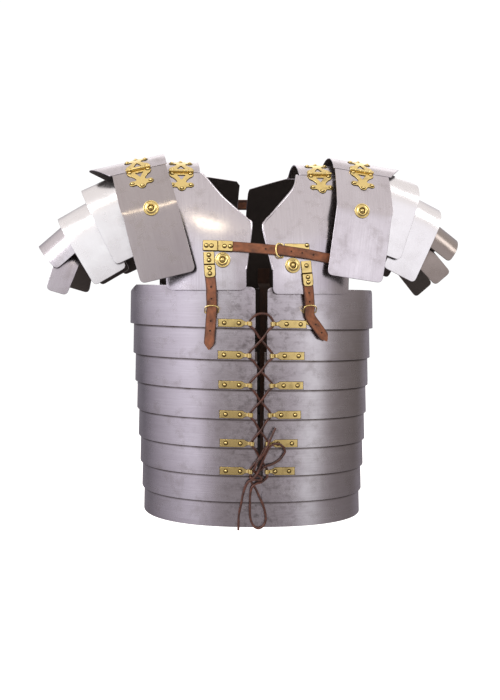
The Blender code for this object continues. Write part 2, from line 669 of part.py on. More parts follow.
def make_hinge(name, band, at, across):
    """A lobate hinge: two cut-out leaves bent to their plates, and the knuckle on the joint line."""
    outline = LEAF + [(-x, y) for x, y in reversed(LEAF[:-1])]
    leaves = []
    for way in (-1, 1):
        reach = 0.050
        rows = [[band.point(across + a, at + way * s, GAP + BRASS_WALL) for a in (-0.022, 0.0, 0.022)]
                for s in spread(0.0008, reach, 8)]
        slab = sheet(f"{name}_slab_{way}", rows, BRASS_WALL, BRASS_FINISH,
                     band.point(across, at + way * 0.02, -0.1), CUTTERS if way > 0 else None)
        stamp = flat_outline(f"{name}_stamp_{way}", outline, [LEAF_HOLE], 0.06, BRASS_FINISH)
        normal = band.normal(at + way * 0.022)
        along = (band.point(across, at + way * 0.045) - band.point(across, at)).normalized()
        along = (along - normal * along.dot(normal)).normalized()
        x_axis = along.cross(normal)
        pose = Matrix((x_axis, along, normal)).transposed().to_4x4()
        pose.translation = band.point(across, at)
        stamp.matrix_world = pose
        bpy.context.view_layer.update()
        stamp = as_mesh(stamp)
        join(slab, [stamp], "INTERSECT")
        leaves.append(slab)
    bpy.context.view_layer.update()
    upper = as_mesh(leaves[1])
    middle = band.point(across, at, GAP + KNUCKLE)
    bar = [middle + band.out * a for a in (-0.0194, 0.0194)]
    knuckle = as_mesh(tube(f"{name}_knuckle", bar, 2 * KNUCKLE, BRASS_FINISH, group=CUTTERS))
    lower = leaves[0]
    lower.name = name
    join(lower, [upper, knuckle])


def edge_at(table, s):
    return float(np.interp(s, [row[0] for row in table], [row[1] for row in table]))


def make_collar():
    """On each side a breastplate, a top plate and a back plate, hinged over the shoulder."""
    for side, label in SIDES.items():
        band = collar_band(side)
        base = abs(band.corner.x)
        outer = PLATE_OUTER - base
        hinge = length_of(COLLAR_FRONT, 1)
        span = BREAST_END[side] - hinge
        neck = BREAST_NECK[side]
        turns = [row[0] for row in neck[1:-1]]
        stations = [(-hinge - s, edge_at(neck, s) - base, outer - 0.010 * s / span)
                    for s in sorted(set(spread(0.0015, span - 0.012, 9) + turns + [span]))]
        rows = plate_rows(band, stations, columns_for(0.11, PLATE_CORNER, 4), PLATE_CORNER)
        sheet(f"breastplate_{label}", rows, STEEL_WALL, STEEL_FINISH, (0, 0, -0.15))

        back_hinge = length_of(COLLAR_BACK, 1)
        back_span = length_of(COLLAR_BACK, 4) - back_hinge
        stations = [(back_hinge + s, edge_at(BACK_NECK[side], s) - base, outer)
                    for s in BACK_ROWS + [back_span - 0.012, back_span]]
        rows = plate_rows(band, stations, columns_for(0.14, PLATE_CORNER, 4), PLATE_CORNER)
        plate = sheet(f"backplate_{label}", rows, STEEL_WALL, STEEL_FINISH, (0, 0, -0.15))
        join(plate, [back_hinge_bars(f"collar_back_hinge_{label}", band, back_hinge, BACK_HINGE_X - base)])

        stations = [(s, 0.0, outer) for s in spread(-hinge + 0.0015, back_hinge - 0.0015, 8)]
        rows = plate_rows(band, stations, spread(0, 1, 3))
        sheet(f"collar_top_{label}", rows, STEEL_WALL, STEEL_FINISH, (side * 0.1, 0, -0.15))
        make_hinge(f"collar_hinge_{label}", band, -hinge, COLLAR_HINGE_X[side] - base)


def lame_band(side, lame):
    """The band of a lesser guard; across is negative, inward from its outer crest corner."""
    run = lame["run"]
    table = []
    for drop in (lame["drop_f"], lame["drop_b"]):
        bend = min(0.030, 0.4 * drop)
        rows = Band.run([(run, 42), (bend, 82)], 1)
        fallen = -rows[-1][2]
        table.append([(run, 42), (bend, 82), (max(0.004, (drop - fallen) / math.sin(math.radians(84))), 86)])
    return Band(side, (lame["x"], LAME_Y, lame["z"]), lame["lean"], table[0], table[1]), table


def make_lesser_guards():
    """Four bent strips outside each upper guard, each with both ends hanging."""
    for side, label in SIDES.items():
        for n, lame in enumerate(LAMES[side]):
            band, (front, back) = lame_band(side, lame)
            ends = (length_of(front, 3), length_of(back, 3))
            stops = [-ends[0], -ends[0] + LAME_CORNER + 0.002, -length_of(front, 2),
                     -length_of(front, 1) - 0.012,
                     -length_of(front, 1), -0.66 * length_of(front, 1), -0.33 * length_of(front, 1), 0]
            stops += [0.33 * length_of(back, 1), 0.66 * length_of(back, 1), length_of(back, 1),
                      length_of(back, 1) + 0.012, length_of(back, 2), ends[1] - LAME_CORNER - 0.002, ends[1]]
            rows = []
            for k, s in enumerate(sorted(set(stops))):
                width = float(np.interp(s, [-ends[0], 0, ends[1]],
                                        [lame["front"], lame["crest"], lame["back"]]))
                row = []
                for share in columns_for(width, LAME_CORNER, 2):
                    cut = 0.0
                    if k == 0:
                        cut = corner_cut(min(share, 1 - share) * width, LAME_CORNER)
                    if k == len(set(stops)) - 1:
                        cut = -corner_cut(min(share, 1 - share) * width, LAME_CORNER)
                    row.append(band.point(-share * width, s + cut))
                rows.append(row)
            middle = band.corner - band.out * 0.03 - band.up * 0.08
            sheet(f"lesser_guard_{label}_{n + 1}", rows, STEEL_WALL, STEEL_FINISH, middle)


def front_point(x, z, lift):
    """On the breastplates, and over the gap between them."""
    return collar_band(-1 if x < 0 else 1).chest(abs(x), z, lift)


def hanging_point(x, z, lift):
    """Down from a breastplate's lower edge to the first hoop, and straight down from there."""
    if z > STRAP_LEAVES:
        return front_point(x, z, lift)
    y_high = front_point(x, STRAP_LEAVES, lift).y
    y_low = -girth_y(0, x - GIRTH_X, max(z, HOOPS[0]["low"]), 0, True) - lift
    share = min(1.0, (STRAP_LEAVES - z) / (STRAP_LEAVES - STRAP_LANDS))
    return Vector((x, y_high + (y_low - y_high) * share, z))


def strap(name, surface, stations, material=LEATHER_FINISH):
    """A strap along x, z places with its half width and the lifts of its two faces."""
    sections = []
    for n, (x, z, half, low, high) in enumerate(stations):
        before, after = stations[max(0, n - 1)], stations[min(len(stations) - 1, n + 1)]
        along = Vector((after[0] - before[0], 0, after[1] - before[1])).normalized()
        across = Vector((-along.z, 0, along.x)) * half
        sections.append([surface(x + way * across.x, z + way * across.z, lift)
                         for way, lift in ((-1, low), (1, low), (1, high), (-1, high))])
    return loft(name, sections, material)


def strap_stations(places, half, lifts):
    """Stations evenly between places, with lifts read from a table by the distance along the strap."""
    out = []
    far = 0.0
    lift_at = [row[0] for row in lifts]
    for n in range(len(places) - 1):
        start, end = Vector(places[n]), Vector(places[n + 1])
        count = max(1, round((end - start).length / STRAP_STEP))
        for k in range(count + (n == len(places) - 2)):
            spot = start.lerp(end, k / count)
            s = far + (end - start).length * k / count
            low = float(np.interp(s, lift_at, [row[1] for row in lifts]))
            wall = float(np.interp(s, lift_at, [row[2] for row in lifts]))
            out.append((spot.x, spot.y, half, low, low + wall))
        far += (end - start).length
    return out


def buckle(name, place, strap_half, plate_end):
    """A wire ring round a strap and the brass plate that holds the ring's bar."""
    side = strap_half + 0.0020
    ring = [(0.0045, -0.8 * side, BAR_LIFT), (0.0045, 0.0, BAR_LIFT), (0.0045, 0.8 * side, BAR_LIFT),
            (0.0030, side, BAR_LIFT + 0.0004), (0.0, side, 0.0034), (-0.0028, side, ARC_LIFT - 0.0002),
            (-0.0052, 0.78 * side, ARC_LIFT), (-0.0064, 0.4 * side, ARC_LIFT), (-0.0068, 0.0, ARC_LIFT)]
    ring += [(a, -c, lift) for a, c, lift in reversed(ring[3:-1])]
    wire = as_mesh(tube(name, [place(*spot) for spot in ring], RING_WIRE, BRASS_FINISH, cyclic=True))
    half = 0.7 * strap_half
    sections = [[place(a, -half, low), place(a, half, low), place(a, half, high), place(a, -half, high)]
                for a, low, high in ((0.0032, GAP, 0.0022), (0.0058, GAP, 0.0022),
                                     (0.0066, GAP, GAP + BRASS_WALL),
                                     ((0.0066 + plate_end) / 2, GAP, GAP + BRASS_WALL),
                                     (plate_end, GAP, GAP + BRASS_WALL))]
    join(wire, [loft(f"{name}_plate", sections, BRASS_FINISH, CUTTERS)])


def make_straps():
    """The strap across the chest and the two that hang from the breastplates, each through its ring."""
    on_plate = LEATHER + 0.0008
    chest = [(0.0, SEAT, on_plate), (0.0449, SEAT, on_plate), (0.0452, SEAT, LEATHER),
             (0.1040, SEAT, LEATHER), (0.1090, 0.0010, LEATHER), (0.1180, 0.0030, LEATHER),
             (0.1240, 0.0030, LEATHER), (0.1320, 0.0020, LEATHER), (0.1640, 0.0020, LEATHER),
             (0.1740, SEAT, LEATHER), (0.2200, SEAT, LEATHER)]
    strap("chest_strap", front_point, strap_stations(CHEST_LINE, CHEST_STRAP_HALF, chest))
    buckle("chest_buckle", lambda a, c, lift: front_point(RING_X["chest"] + a, RING_Z["chest"] + c, lift),
           CHEST_STRAP_HALF, 0.0440)
    for label, line in HANGING_LINE.items():
        ring_z = RING_Z[label]
        start = line[0][1]
        down = start - ring_z
        lifts = [(0.0, SEAT, BRASS_WALL), (0.0190, SEAT, BRASS_WALL), (0.0192, SEAT, on_plate),
                 (0.0380, SEAT, on_plate), (0.0382, SEAT, LEATHER), (down - 0.014, SEAT, LEATHER),
                 (down - 0.008, 0.0010, LEATHER), (down + 0.001, 0.0030, LEATHER),
                 (down + 0.009, 0.0030, LEATHER), (down + 0.018, 0.0020, LEATHER), (1.0, 0.0020, LEATHER)]
        stations = strap_stations(line, HANGING_STRAP_HALF, lifts)
        last = stations[-1]
        stations.append((*HANGING_TIP[label], 0.0018, last[3], last[4]))
        strap(f"hanging_strap_{label}", hanging_point, stations)
        ring_x = RING_X[label]
        buckle(f"hanging_buckle_{label}", lambda a, c, lift: hanging_point(ring_x + c, ring_z - a, lift),
               HANGING_STRAP_HALF, 0.0230)


def make_back_strap():
    """The strap that joins the two back plates."""
    sections = []
    for x in spread(-0.040, 0.040, 6):
        band = collar_band(-1 if x < 0 else 1)
        sections.append([Vector((x, *band.chest(abs(x), z, lift, True).yz))
                         for z, lift in ((-0.046, 2 * GAP), (-0.030, 2 * GAP), (-0.030, 2 * GAP + LEATHER),
                                         (-0.046, 2 * GAP + LEATHER))])
    loft("back_strap", sections, LEATHER_FINISH)


def boss(name, middle, normal):
    """A brass disc with a raised ring and a domed rivet."""
    mesh = bpy.data.meshes.new(name)
    steps = [(k, k + 1) for k in range(len(BOSS_PROFILE) - 1)]
    mesh.from_pydata([(r, 0, h) for r, h in BOSS_PROFILE], steps, [])
    disc = add_object(name, mesh, BRASS_FINISH)
    turn = disc.modifiers.new("Turn", "SCREW")
    turn.axis = "Z"
    turn.steps = turn.render_steps = 20
    turn.use_merge_vertices = True
    turn.merge_threshold = 0.00005
    disc.matrix_world = Matrix.Translation(middle) @ normal.to_track_quat("Z", "Y").to_matrix().to_4x4()


def make_bosses():
    """A boss on each breastplate and on each upper guard."""
    for side, label in SIDES.items():
        x, z = BOSS_CHEST[side]
        across = front_point(x + 0.01, z, 0) - front_point(x - 0.01, z, 0)
        upward = front_point(x, z + 0.01, 0) - front_point(x, z - 0.01, 0)
        boss(f"boss_chest_{label}", front_point(x, z, 0.0009), across.cross(upward).normalized())
        band = guard_band(side)
        down = BOSS_GUARD_DOWN[side]
        boss(f"boss_guard_{label}", band.point(0.042, -down, GAP), band.normal(-down))


def make_shoulder_leathers():
    """Inside straps along the crest of each shoulder, from the collar's top plate out to the last guard."""
    under = -STEEL_WALL - 2 * GAP - CREST_SAG
    beneath = under - 0.0010
    for side, label in SIDES.items():
        collar, guard = collar_band(side), guard_band(side)
        lames = [lame_band(side, lame)[0] for lame in LAMES[side]]
        widths = [lame["crest"] for lame in LAMES[side]]
        base = abs(collar.corner.x)
        guard_from = 0.178 - abs(guard.corner.x)
        line = [collar.point(0.116 - base, 0, under), collar.point(0.150 - base, 0, under),
                guard.point(guard_from, 0, under), guard.point(guard_from + 0.020, 0, under)]
        for band, width in zip(lames[:3], widths):
            line += [band.point(-width - 0.005, 0, -0.0070), band.point(-width + 0.010, 0, beneath),
                     band.point(-width + 0.024, 0, beneath)]
        sections = []
        for n, spot in enumerate(line):
            along = line[min(len(line) - 1, n + 1)] - line[max(0, n - 1)]
            down = Vector((along.z, 0, -along.x)) * side
            drop = down.normalized() * LEATHER
            half = Vector((0, LEATHER_HALF, 0))
            sections.append([spot - half, spot + half, spot + half + drop, spot - half + drop])
        leather = loft(f"shoulder_leather_{label}", sections, LEATHER_FINISH)
        last = lames[3]
        c_band, c_width = lames[2], widths[2]
        link = [(c_band.point(-c_width + 0.022, 0, beneath - LEATHER + 0.0006), -c_band.up),
                (c_band.point(-c_width + 0.012, 0, beneath - LEATHER + 0.0006), -c_band.up),
                (last.point(0.006, 0, 0.0045 + LEATHER), -last.up),
                (last.point(-0.004, 0, GAP + LEATHER + 0.0003), -last.up),
                (last.point(-0.022, 0, GAP + LEATHER + 0.0003), -last.up)]
        half = Vector((0, LEATHER_HALF - 0.002, 0))
        sections = [[spot - half, spot + half, spot + half + way * LEATHER, spot - half + way * LEATHER]
                    for spot, way in link]
        join(leather, [loft(f"shoulder_link_{label}", sections, LEATHER_FINISH, CUTTERS)])


def main():
    make_girth()
    make_collar()
    make_guards()
    make_lesser_guards()
    make_laces()
    make_girth_leathers()
    make_shoulder_leathers()
    make_straps()
    make_back_strap()
    make_bosses()


main()
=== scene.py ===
"""The looks of a lorica segmentata, built round its packed parts.

Run as a script in Blender. The wearer faces -Y and +Z is up; all sizes are in metres. Every plate is cut
from a flat outline, laid on the surface that the armourer bends it to, and given its wall and rounded edge.
"""
import math

import bmesh
import bpy
import numpy as np
from bpy.props import FloatProperty, FloatVectorProperty, IntProperty, PointerProperty
from mathutils import Matrix, Vector
from mathutils.geometry import delaunay_2d_cdt


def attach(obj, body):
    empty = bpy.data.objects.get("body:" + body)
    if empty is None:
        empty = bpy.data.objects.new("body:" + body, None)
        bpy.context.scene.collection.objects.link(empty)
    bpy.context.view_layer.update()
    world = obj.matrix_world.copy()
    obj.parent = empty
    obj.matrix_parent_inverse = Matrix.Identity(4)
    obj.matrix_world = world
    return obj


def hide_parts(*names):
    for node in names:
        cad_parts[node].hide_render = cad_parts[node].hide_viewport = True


bl_info = {
    "name": "Lorica segmentata",
    "version": (1, 0, 0),
    "blender": (4, 5, 0),
    "location": "View3D > Sidebar > Armour",
    "description": "Laced girth hoops, hinged collar and shoulder guards with their straps and fittings",
    "category": "Object",
}

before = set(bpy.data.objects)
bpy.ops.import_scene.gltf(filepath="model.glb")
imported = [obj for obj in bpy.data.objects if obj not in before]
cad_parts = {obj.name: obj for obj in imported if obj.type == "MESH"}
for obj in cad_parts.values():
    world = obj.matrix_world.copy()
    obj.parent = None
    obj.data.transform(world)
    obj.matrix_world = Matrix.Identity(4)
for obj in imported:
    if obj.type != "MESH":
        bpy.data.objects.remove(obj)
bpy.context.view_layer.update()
BODY = "root"
SIDES = {-1: "right", 1: "left"}


def linear(hex_colour):
    """An sRGB hex colour as linear red, green and blue."""
    channels = [int(hex_colour[i:i + 2], 16) / 255 for i in (1, 3, 5)]
    return tuple(c / 12.92 if c <= 0.04045 else ((c + 0.055) / 1.055) ** 2.4 for c in channels)


# Girth: the pose of its hoops, and the section that they share
GIRTH_X = 0.003
GIRTH_TURN = 1.4
ROUNDNESS = 2.3
HOOP_LAP = 0.013
HOOP_LEAN = 0.0008
ARMPIT_DIP = 0.011
HOOP_1_HEIGHT = 0.063
# Roundings of a hoop's upper corners, the first hoop's and the others', and of all lower corners
HOOP_1_CORNER = 0.0085
HOOP_CORNER = 0.002
HOOP_LOW_CORNER = 0.0022
BACK_EDGE = 0.0055
# bottom edge height, half width, half depth, front edge of the right half, front edge of the left half
HOOPS = [dict(zip(("low", "wide", "deep", "right", "left"), row)) for row in (
    (-0.2500, 0.2035, 0.1475, -0.0080, 0.0104),
    (-0.2990, 0.1990, 0.1450, -0.0086, 0.0098),
    (-0.3450, 0.1963, 0.1428, -0.0050, 0.0064),
    (-0.3910, 0.1938, 0.1408, -0.0048, 0.0060),
    (-0.4360, 0.1915, 0.1390, -0.0040, 0.0052),
    (-0.4800, 0.1890, 0.1372, -0.0036, 0.0048),
    (-0.5220, 0.1862, 0.1354, 0.00296, 0.00304),
    (-0.5620, 0.1836, 0.1338, 0.00296, 0.00304),
)]

# Tie loops: distance of each loop's end from the middle
TIE_ENDS = {-1: [0.0140, 0.0146, 0.0132, 0.0118, 0.0094, 0.0118],
            1: [0.0158, 0.0148, 0.0146, 0.0122, 0.0084, 0.0078]}
TIE_ABOVE_EDGE = 0.0075
# How far each front strip reaches from its loop's end
TIE_LENGTHS = {-1: [0.0511, 0.0507, 0.0511, 0.0511, 0.0529, 0.0506],
               1: [0.0556, 0.0541, 0.0531, 0.0521, 0.0512, 0.0477]}
TIE_HALF = 0.0058
TIE_TEETH = 8
TIE_TOOTH = 0.0011
# From a loop's end to the middle of its roll, and the roll's radius and height
TIE_ROLL = 0.0031
ROLL_RADIUS = 0.0033
ROLL_LIFT = 0.0024

# Clearance between a fitting and its plate, and the facets of sheet brass, and how far its painted shadow
# reaches round its foot
GAP = 0.0003
BRASS_STEP = (0.006, 0.006)
SHADOW_SKIRT = 0.0006
# Inner straps behind the hoops
LEATHER_X = 0.042
LEATHER_HALF = 0.011
CREST_SAG = 0.0007

# Lace: its lift over the plates behind a loop, and of the two cords where they cross
LACE_LIFT = 0.0021
CROSS_UNDER = 0.0021
CROSS_OVER = 0.0059
# Where the lace bends over a hoop's lower edge: how far below it, and how far out
EDGE_DROP = 0.0012
EDGE_LIFT = 0.0004
# The bow, in mm across and up from the knot and out from the plates
KNOT = (-0.0096, -0.4820)
FREE_END = [(-27, -84, 2.4), (-26, -60, 2.4), (-22.5, -41, 2.6), (-19, -24, 2.6), (-13, -8, 5.4)]
WRAP = [(-4, -2.5, 8.8), (5, -3.5, 7.6), (9, -1.5, 4.6), (5, 2.5, 2.3), (-3, 2.5, 2.1), (-7, -4, 2.1)]
LOWER_LOOP = [(-5, -11, 2.1), (0, -18, 2.2), (5, -29, 2.4), (10.5, -41, 2.6), (15, -55, 2.3), (16, -68, 2.3),
              (12, -77, 2.3), (4, -81, 2.3), (-4, -76, 2.3), (-8.5, -62, 2.3), (-9, -41, 2.6),
              (-8.5, -27, 2.6), (-6, -15, 5.4)]
TO_TIE = [(1, -9, 5.4), (9, -7, 4.6)]
FROM_TIE = [(-9.5, 0.5, 3.6), (-4, 0, 5.4), (1, 6, 5.6)]
SIDE_LOOP = [(5, 14, 5.6), (9.5, 25, 6.0), (17, 44, 9.0), (23, 52, 8.8), (34, 54, 3.6), (42, 49.5, 3.6),
             (44.5, 45, 3.2), (45, 39, 4.2), (37, 28, 2.4), (26, 21.5, 3.0), (18, 19.5, 5.6),
             (12, 16.5, 5.2), (6.5, 11.5, 2.3), (1, 8.5, 2.1)]
STEM = [(-2.5, 9.5, 3.6), (-3, 14, 6.6), (0, 22, 8.8), (5.5, 31, 9.6), (13, 43, 10.8), (21, 61, 10.0),
        (30, 79, 6.5)]

# Shoulder plates: x, y and z of the inner crest corner, and its lean in degrees
COLLAR = {-1: (0.088, 0.004, 0.0200), 1: (0.074, 0.004, 0.0190)}
GUARD = {-1: (0.1454, -0.004, 0.0320, 13.5), 1: (0.1320, -0.005, 0.0300, 8.5)}
# Profiles from the crest down: lengths of the runs and the slope in degrees that each one reaches
COLLAR_FRONT = [(0.0716, 41), (0.0600, 47), (0.0800, 76), (0.0840, 88)]
COLLAR_BACK = [(0.0540, 30), (0.0880, 54), (0.0550, 80), (0.0900, 84)]
GUARD_FRONT = [(0.0700, 42), (0.0885, 50), (0.0050, 80), (0.1085, 83)]
GUARD_BACK = [(0.0720, 33), (0.0940, 48), (0.0140, 80), (0.0900, 83)]
BREAST_END = {-1: 0.2884, 1: 0.2935}
CHEST_ROUND = 0.19
PLATE_OUTER = 0.152
PLATE_CORNER = 0.009
JOINT = 0.0007
# Neckline: distance below the hinge joint and the inner edge's distance from the middle
BREAST_NECK = {-1: [(0.0, 0.0840), (0.055, 0.0575), (0.085, 0.0360), (0.110, 0.0135), (0.118, 0.0125),
                    (0.150, 0.0165), (0.185, 0.0225)],
               1: [(0.0, 0.0690), (0.030, 0.0620), (0.055, 0.0480), (0.090, 0.0230), (0.112, 0.0050),
                   (0.122, 0.0050), (0.150, 0.0120), (0.185, 0.0180)]}
BACK_NECK = {-1: [(0.0015, 0.066), (0.012, 0.016), (0.022, 0.010)],
             1: [(0.0015, 0.070), (0.012, 0.047), (0.030, 0.008), (0.040, 0.006)]}
COLLAR_HINGE_X = {-1: 0.117, 1: 0.106}
BACK_HINGE_X = 0.106
GUARD_WIDTH = {-1: {"top": 0.092, "low": 0.084, "flare": 0.032},
               1: {"top": 0.096, "low": 0.087, "flare": 0.026}}
GUARD_HINGE_X = 0.046

# Lesser guards: outer crest corner, lean, width at front end, crest and back end,
# drop of the front and back ends below the crest, and the arch's run to its bend
LAME_COLUMNS = ("x", "z", "lean", "front", "crest", "back", "drop_f", "drop_b", "run")
LAMES = {side: [dict(zip(LAME_COLUMNS, row)) for row in rows] for side, rows in {
    -1: [
        (0.2787, -0.0291, 25.3, 0.060, 0.062, 0.060, 0.1365, 0.1500, 0.078),
        (0.3172, -0.0753, 30.3, 0.058, 0.060, 0.058, 0.1266, 0.1250, 0.071),
        (0.3484, -0.1196, 41.0, 0.050, 0.055, 0.050, 0.0525, 0.0525, 0.064),
        (0.3040, -0.1040, -17.0, 0.033, 0.045, 0.055, 0.0900, 0.0800, 0.054),
    ],
    1: [
        (0.2807, -0.0097, 19.5, 0.060, 0.062, 0.060, 0.1420, 0.1380, 0.078),
        (0.3222, -0.0527, 26.5, 0.058, 0.060, 0.058, 0.1420, 0.1300, 0.071),
        (0.3555, -0.1040, 37.0, 0.048, 0.055, 0.048, 0.0517, 0.0517, 0.064),
        (0.2706, -0.0925, -40.0, 0.034, 0.042, 0.040, 0.0900, 0.1120, 0.052),
    ],
}.items()}
LAME_Y = 0.002
LAME_CORNER = 0.008

# Straps, rings and bosses
CHEST_STRAP_HALF = 0.0074
HANGING_STRAP_HALF = 0.0078
RING_X = {"chest": 0.0295, "right": -0.0751, "left": 0.0762}
RING_Z = {"chest": -0.1322, "right": -0.2215, "left": -0.2215}
BAR_LIFT = 0.0014
ARC_LIFT = 0.0056
SEAT = 0.0007
CHEST_LINE = [(-0.0875, -0.1245), (-0.0426, -0.1262), (0.0275, -0.1316), (0.0700, -0.1368), (0.1160, -0.1445)]
HANGING_LINE = {"right": [(-0.0786, -0.1340), (-0.0775, -0.1640), (-0.0756, -0.1873), (-0.0755, -0.1990),
                          (-0.0750, -0.2227), (-0.0786, -0.2710), (-0.0794, -0.2830)],
                "left": [(0.0697, -0.1472), (0.0712, -0.1640), (0.0743, -0.1990), (0.0760, -0.2180),
                         (0.0763, -0.2310), (0.0880, -0.2470), (0.1015, -0.2650), (0.1053, -0.2715)]}
STRAP_LEAVES = -0.1995
STRAP_LANDS = -0.2360
BOSS_CHEST = {-1: (-0.0580, -0.1461), 1: (0.0490, -0.1541)}
BOSS_GUARD_DOWN = {-1: 0.1640, 1: 0.1650}
BOSS_GUARD_ACROSS = 0.042

# Half of a hinge leaf's outline, across and away from the knuckle
LEAF = [(0.0185, 0.0000), (0.0188, 0.0080), (0.0168, 0.0122), (0.0118, 0.0160), (0.0080, 0.0215),
        (0.0066, 0.0262), (0.0098, 0.0284), (0.0132, 0.0272), (0.0170, 0.0284), (0.0189, 0.0320),
        (0.0182, 0.0360), (0.0148, 0.0384), (0.0108, 0.0376), (0.0074, 0.0382), (0.0058, 0.0412),
        (0.0040, 0.0450), (0.0, 0.0470)]
LEAF_HOLE = [(-0.0068, 0.0078), (0.0068, 0.0078), (0.0, 0.0205)]
LEAF_RIVETS = [(-0.0145, 0.0045), (0.0145, 0.0045), (-0.0145, 0.0332), (0.0145, 0.0332), (0.0, 0.0418)]
# The oblong leaf behind
PLAIN_LEAF = [(-0.016, 0.0022), (0.016, 0.0022), (0.016, 0.030), (-0.016, 0.030)]
PLAIN_RIVETS = [(u, v) for u in (-0.0110, 0.0110) for v in (0.0085, 0.0235)]


def length_setting(name, description, default):
    """A size, shown in the scene's unit of length."""
    return FloatProperty(name=name, description=description, default=default, unit="LENGTH", precision=5)


def colour_setting(name, description, hex_colour):
    """A colour, given in sRGB hex and kept linear."""
    return FloatVectorProperty(name=name, description=description, subtype="COLOR",
                               default=linear(hex_colour), min=0, max=1)


class PlateSettings(bpy.types.PropertyGroup):
    """Steel plates."""
    wall: length_setting("Plate wall", "Thickness of the steel", 0.0012)
    edge: length_setting("Edge round", "How far the filed edges are rounded", 0.0005)
    rim: length_setting("Neck rim", "Radius of the turned rim at the neck", 0.0013)
    fineness: length_setting("Facet length", "Longest facet on a curved plate", 0.008)
    steel: colour_setting("Steel", "Brushed steel", "#DCD8DE")
    shade: colour_setting("Steel in the grain", "Steel deep in the brush marks", "#C6C0C6")
    # also the colour that darker copies of the steel are carried towards, painted shade on the outer lesser
    # guards
    stain_and_shade: colour_setting("Handling stains", "Faint brown stains on the steel", "#8F857E")
    inside: colour_setting("Inside", "Blackened inner side", "#3A302B")


class FittingSettings(bpy.types.PropertyGroup):
    """Brass fittings."""
    wall: length_setting("Brass wall", "Thickness of strips and leaves", 0.0010)
    edge: length_setting("Brass edge", "How far cut edges are rounded", 0.0003)
    rivet: length_setting("Rivet radius", "Radius of a domed rivet head", 0.0023)
    wire: length_setting("Ring wire", "Thickness of the strap rings' wire", 0.0020)
    knuckle: length_setting("Knuckle radius", "Radius of a hinge's knuckle", 0.0024)
    boss: length_setting("Boss radius", "Radius of the brass bosses", 0.0118)
    brass: colour_setting("Brass", "Polished brass", "#F3DA92")
    # also the base of the dark brass that stands for painted shade round fittings and rivets
    tarnish: colour_setting("Tarnish", "Brown tarnish in the hollows", "#4A3818")


class LeatherSettings(bpy.types.PropertyGroup):
    """Straps and laces."""
    strap: length_setting("Strap thickness", "Thickness of the straps", 0.0024)
    hole: length_setting("Hole radius", "Radius of a punched hole", 0.0014)
    lace: length_setting("Lace thickness", "Thickness of the round laces", 0.0035)
    hide: colour_setting("Strap leather", "Tanned brown hide", "#7C482A")
    edge: colour_setting("Strap edge", "Darker burnished edge", "#3A2016")
    cord: colour_setting("Lace leather", "Dark brown waxed lace", "#4C291D")


class StudioSettings(bpy.types.PropertyGroup):
    """Camera, floor and light."""
    azimuth: FloatProperty(name="Camera azimuth", description="Degrees round from the front", default=-6.4)
    elevation: FloatProperty(name="Camera elevation", description="Degrees above the middle", default=4.04)
    distance: length_setting("Camera distance", "From the aim point", 1.404)
    aim: length_setting("Aim height", "Height that the camera looks at", -0.293)
    lens: FloatProperty(name="Lens", description="Focal length in mm on a 36 mm high frame", default=42.35)
    floor: length_setting("Floor height", "Floor under the hung armour", -1.35)
    pale: colour_setting("Floor colour", "Plain pale floor and backdrop", "#F4F4F4")
    key: FloatProperty(name="Key light", description="Power of the soft key light in watts", default=24.0)
    fill: FloatProperty(name="Side lights", description="Power of each side light in watts", default=9.0)
    facets: IntProperty(name="Round facets", description="Facets round a turned piece", default=40)


def settings():
    scene = bpy.context.scene
    return scene.lorica_plates, scene.lorica_fittings, scene.lorica_leather, scene.lorica_studio


# Curves and surfaces

GIRTH_POSE = Matrix.Translation((GIRTH_X, 0, 0)) @ Matrix(
    ((1, 0, 0, 0), (0, 1, 0, 0), (-math.tan(math.radians(GIRTH_TURN)), 0, 1, 0), (0, 0, 0, 1)))


def distances(line):
    """How far each point of a line lies along it."""
    return np.concatenate([[0], np.cumsum(np.linalg.norm(np.diff(line, axis=0), axis=1))])


def spread(start, end, count):
    return [start + (end - start) * k / count for k in range(count + 1)]


def length_of(table, count):
    return sum(row[0] for row in table[:count])


def edge_at(table, s):
    return float(np.interp(s, [row[0] for row in table], [row[1] for row in table]))


def hoop_top(i):
    return HOOPS[i - 1]["low"] + HOOP_LAP if i else HOOPS[0]["low"] + HOOP_1_HEIGHT


def hoop_size(i, z):
    """Half width and half depth of a hoop's outer side at a height; it flares a little downward."""
    low = HOOPS[i]["low"]
    lean = HOOP_LEAN * (1 - 2 * (z - low) / (hoop_top(i) - low))
    return HOOPS[i]["wide"] + lean, HOOPS[i]["deep"] + lean


def around(wide, deep, angle):
    """A point on the girth's rounded section; angle runs from front, -90 degrees, to back, 90."""
    c, s = math.cos(angle), math.sin(angle)
    power = 2 / ROUNDNESS
    return wide * abs(c) ** power, deep * math.copysign(abs(s) ** power, s)


def edge_angle(wide, x):
    return math.acos((abs(x) / wide) ** (ROUNDNESS / 2))


def girth_y(i, x, z, lift=0.0, back=False):
    wide, deep = hoop_size(i, z)
    y = deep * max(0.0, 1 - min(1.0, abs(x) / wide) ** ROUNDNESS) ** (1 / ROUNDNESS) + lift
    return y if back else -y


def girth_point(i, x, z, lift=0.0, back=False):
    return GIRTH_POSE @ Vector((x, girth_y(i, x, z, lift, back), z))


